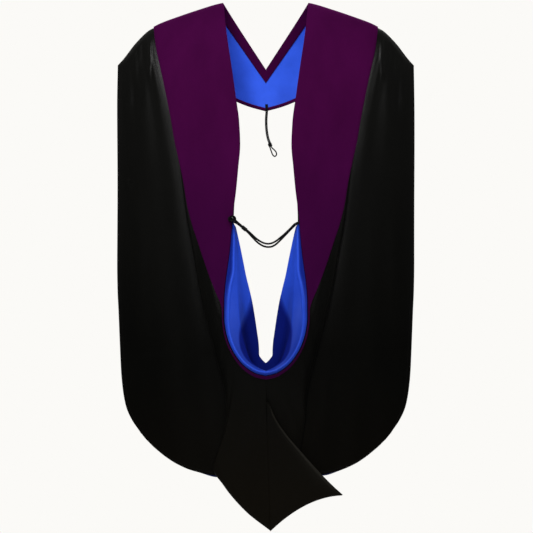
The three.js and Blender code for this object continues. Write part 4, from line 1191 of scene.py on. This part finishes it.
low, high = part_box("ball_button")
ball_radius = 0.0085
lean = Vector((0.34, -0.94, 0)).normalized()
crown = Vector((high.x - ball_radius, low.y + ball_radius, (low.z + high.z) / 2))
ball_height, shank_radius, flattened = 0.0126, 0.0023, 0.95
foot_at = crown - lean * ball_height
profile = [(shank_radius, 0.0)]
profile += [(0.00215 + 0.00018 * math.cos(2.4 * k), 0.0003 * k) for k in range(1, 14)]
profile += [
    (ball_radius * math.sin(a), ball_height - ball_radius * math.cos(a) * (1 if a < 1.6 else flattened))
    for a in np.linspace(math.asin(shank_radius / ball_radius), math.pi, 36)[:-1]
]
turn_to = Vector((0, 0, 1)).rotation_difference(lean).to_matrix()
sides = 48
around = [(math.cos(2 * math.pi * k / sides), math.sin(2 * math.pi * k / sides)) for k in range(sides)]
verts = [foot_at + turn_to @ Vector((r * c, r * s, h)) for r, h in profile for c, s in around]
top_ring = len(verts) - sides
verts.append(foot_at + turn_to @ Vector((0, 0, ball_height + flattened * ball_radius)))
faces = ring_faces(len(profile), sides)
faces += [(top_ring + k, top_ring + (k + 1) % sides, len(verts) - 1) for k in range(sides)]
button = new_object("button", verts, faces, gloss)
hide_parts("ball_button")
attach(button, "root")


# Studio: a plain pale floor and backdrop colour. The main soft light stands above and a little to the left,
# with weaker ones at the left and right, and one beyond the hood for its front.
floor_material, tree, shader = nodes_for("pale_floor")
shader.inputs["Roughness"].default_value = 0.9
mottled(tree, shader, (0.9, 0.895, 0.875), (0.93, 0.925, 0.905), 2)
mesh = bpy.data.meshes.new("floor")
shape = bmesh.new()
bmesh.ops.create_circle(shape, cap_ends=True, radius=3.6, segments=96)
bmesh.ops.translate(shape, verts=shape.verts, vec=(0, 0, -1.35))
shape.to_mesh(mesh)
shape.free()
mesh.materials.append(floor_material)
add_object("floor", mesh)

world = bpy.data.worlds.new("studio")
bpy.context.scene.world = world
world.use_nodes = True
sky = world.node_tree
backdrop = sky.nodes["Background"]
backdrop.inputs["Color"].default_value = (0.965, 0.955, 0.93, 1)
seen = add_node(sky, "ShaderNodeLightPath").outputs["Is Camera Ray"]
level = add_node(sky, "ShaderNodeMapRange", {"Value": seen, "To Min": 0.2, "To Max": 1.0})
sky.links.new(level.outputs["Result"], backdrop.inputs["Strength"])


def soft_light(name, at, aim, size, power):
    """A square panel of light at a place, turned to what it lights."""
    data = bpy.data.lights.new(name, "AREA")
    data.shape = "RECTANGLE"
    data.size, data.size_y = size
    data.energy = power
    light = add_object(name, data)
    light.location = at
    light.rotation_euler = (Vector(aim) - Vector(at)).to_track_quat("-Z", "Y").to_euler()


soft_light("key", (-0.3, -1.5, 1.0), (0, 0, -0.4), (0.7, 0.7), 34)
soft_light("middle", (-0.5, -2.2, 0.15), (0, 0, -0.4), (0.3, 0.3), 10)
soft_light("fill", (0.8, -2.2, 0.6), (0, 0, -0.5), (0.5, 0.5), 9)
soft_light("rear", (0.4, 2.4, 1.5), (0, 0, -0.3), (1.0, 1.0), 7)
bpy.context.scene.view_settings.view_transform = "Standard"
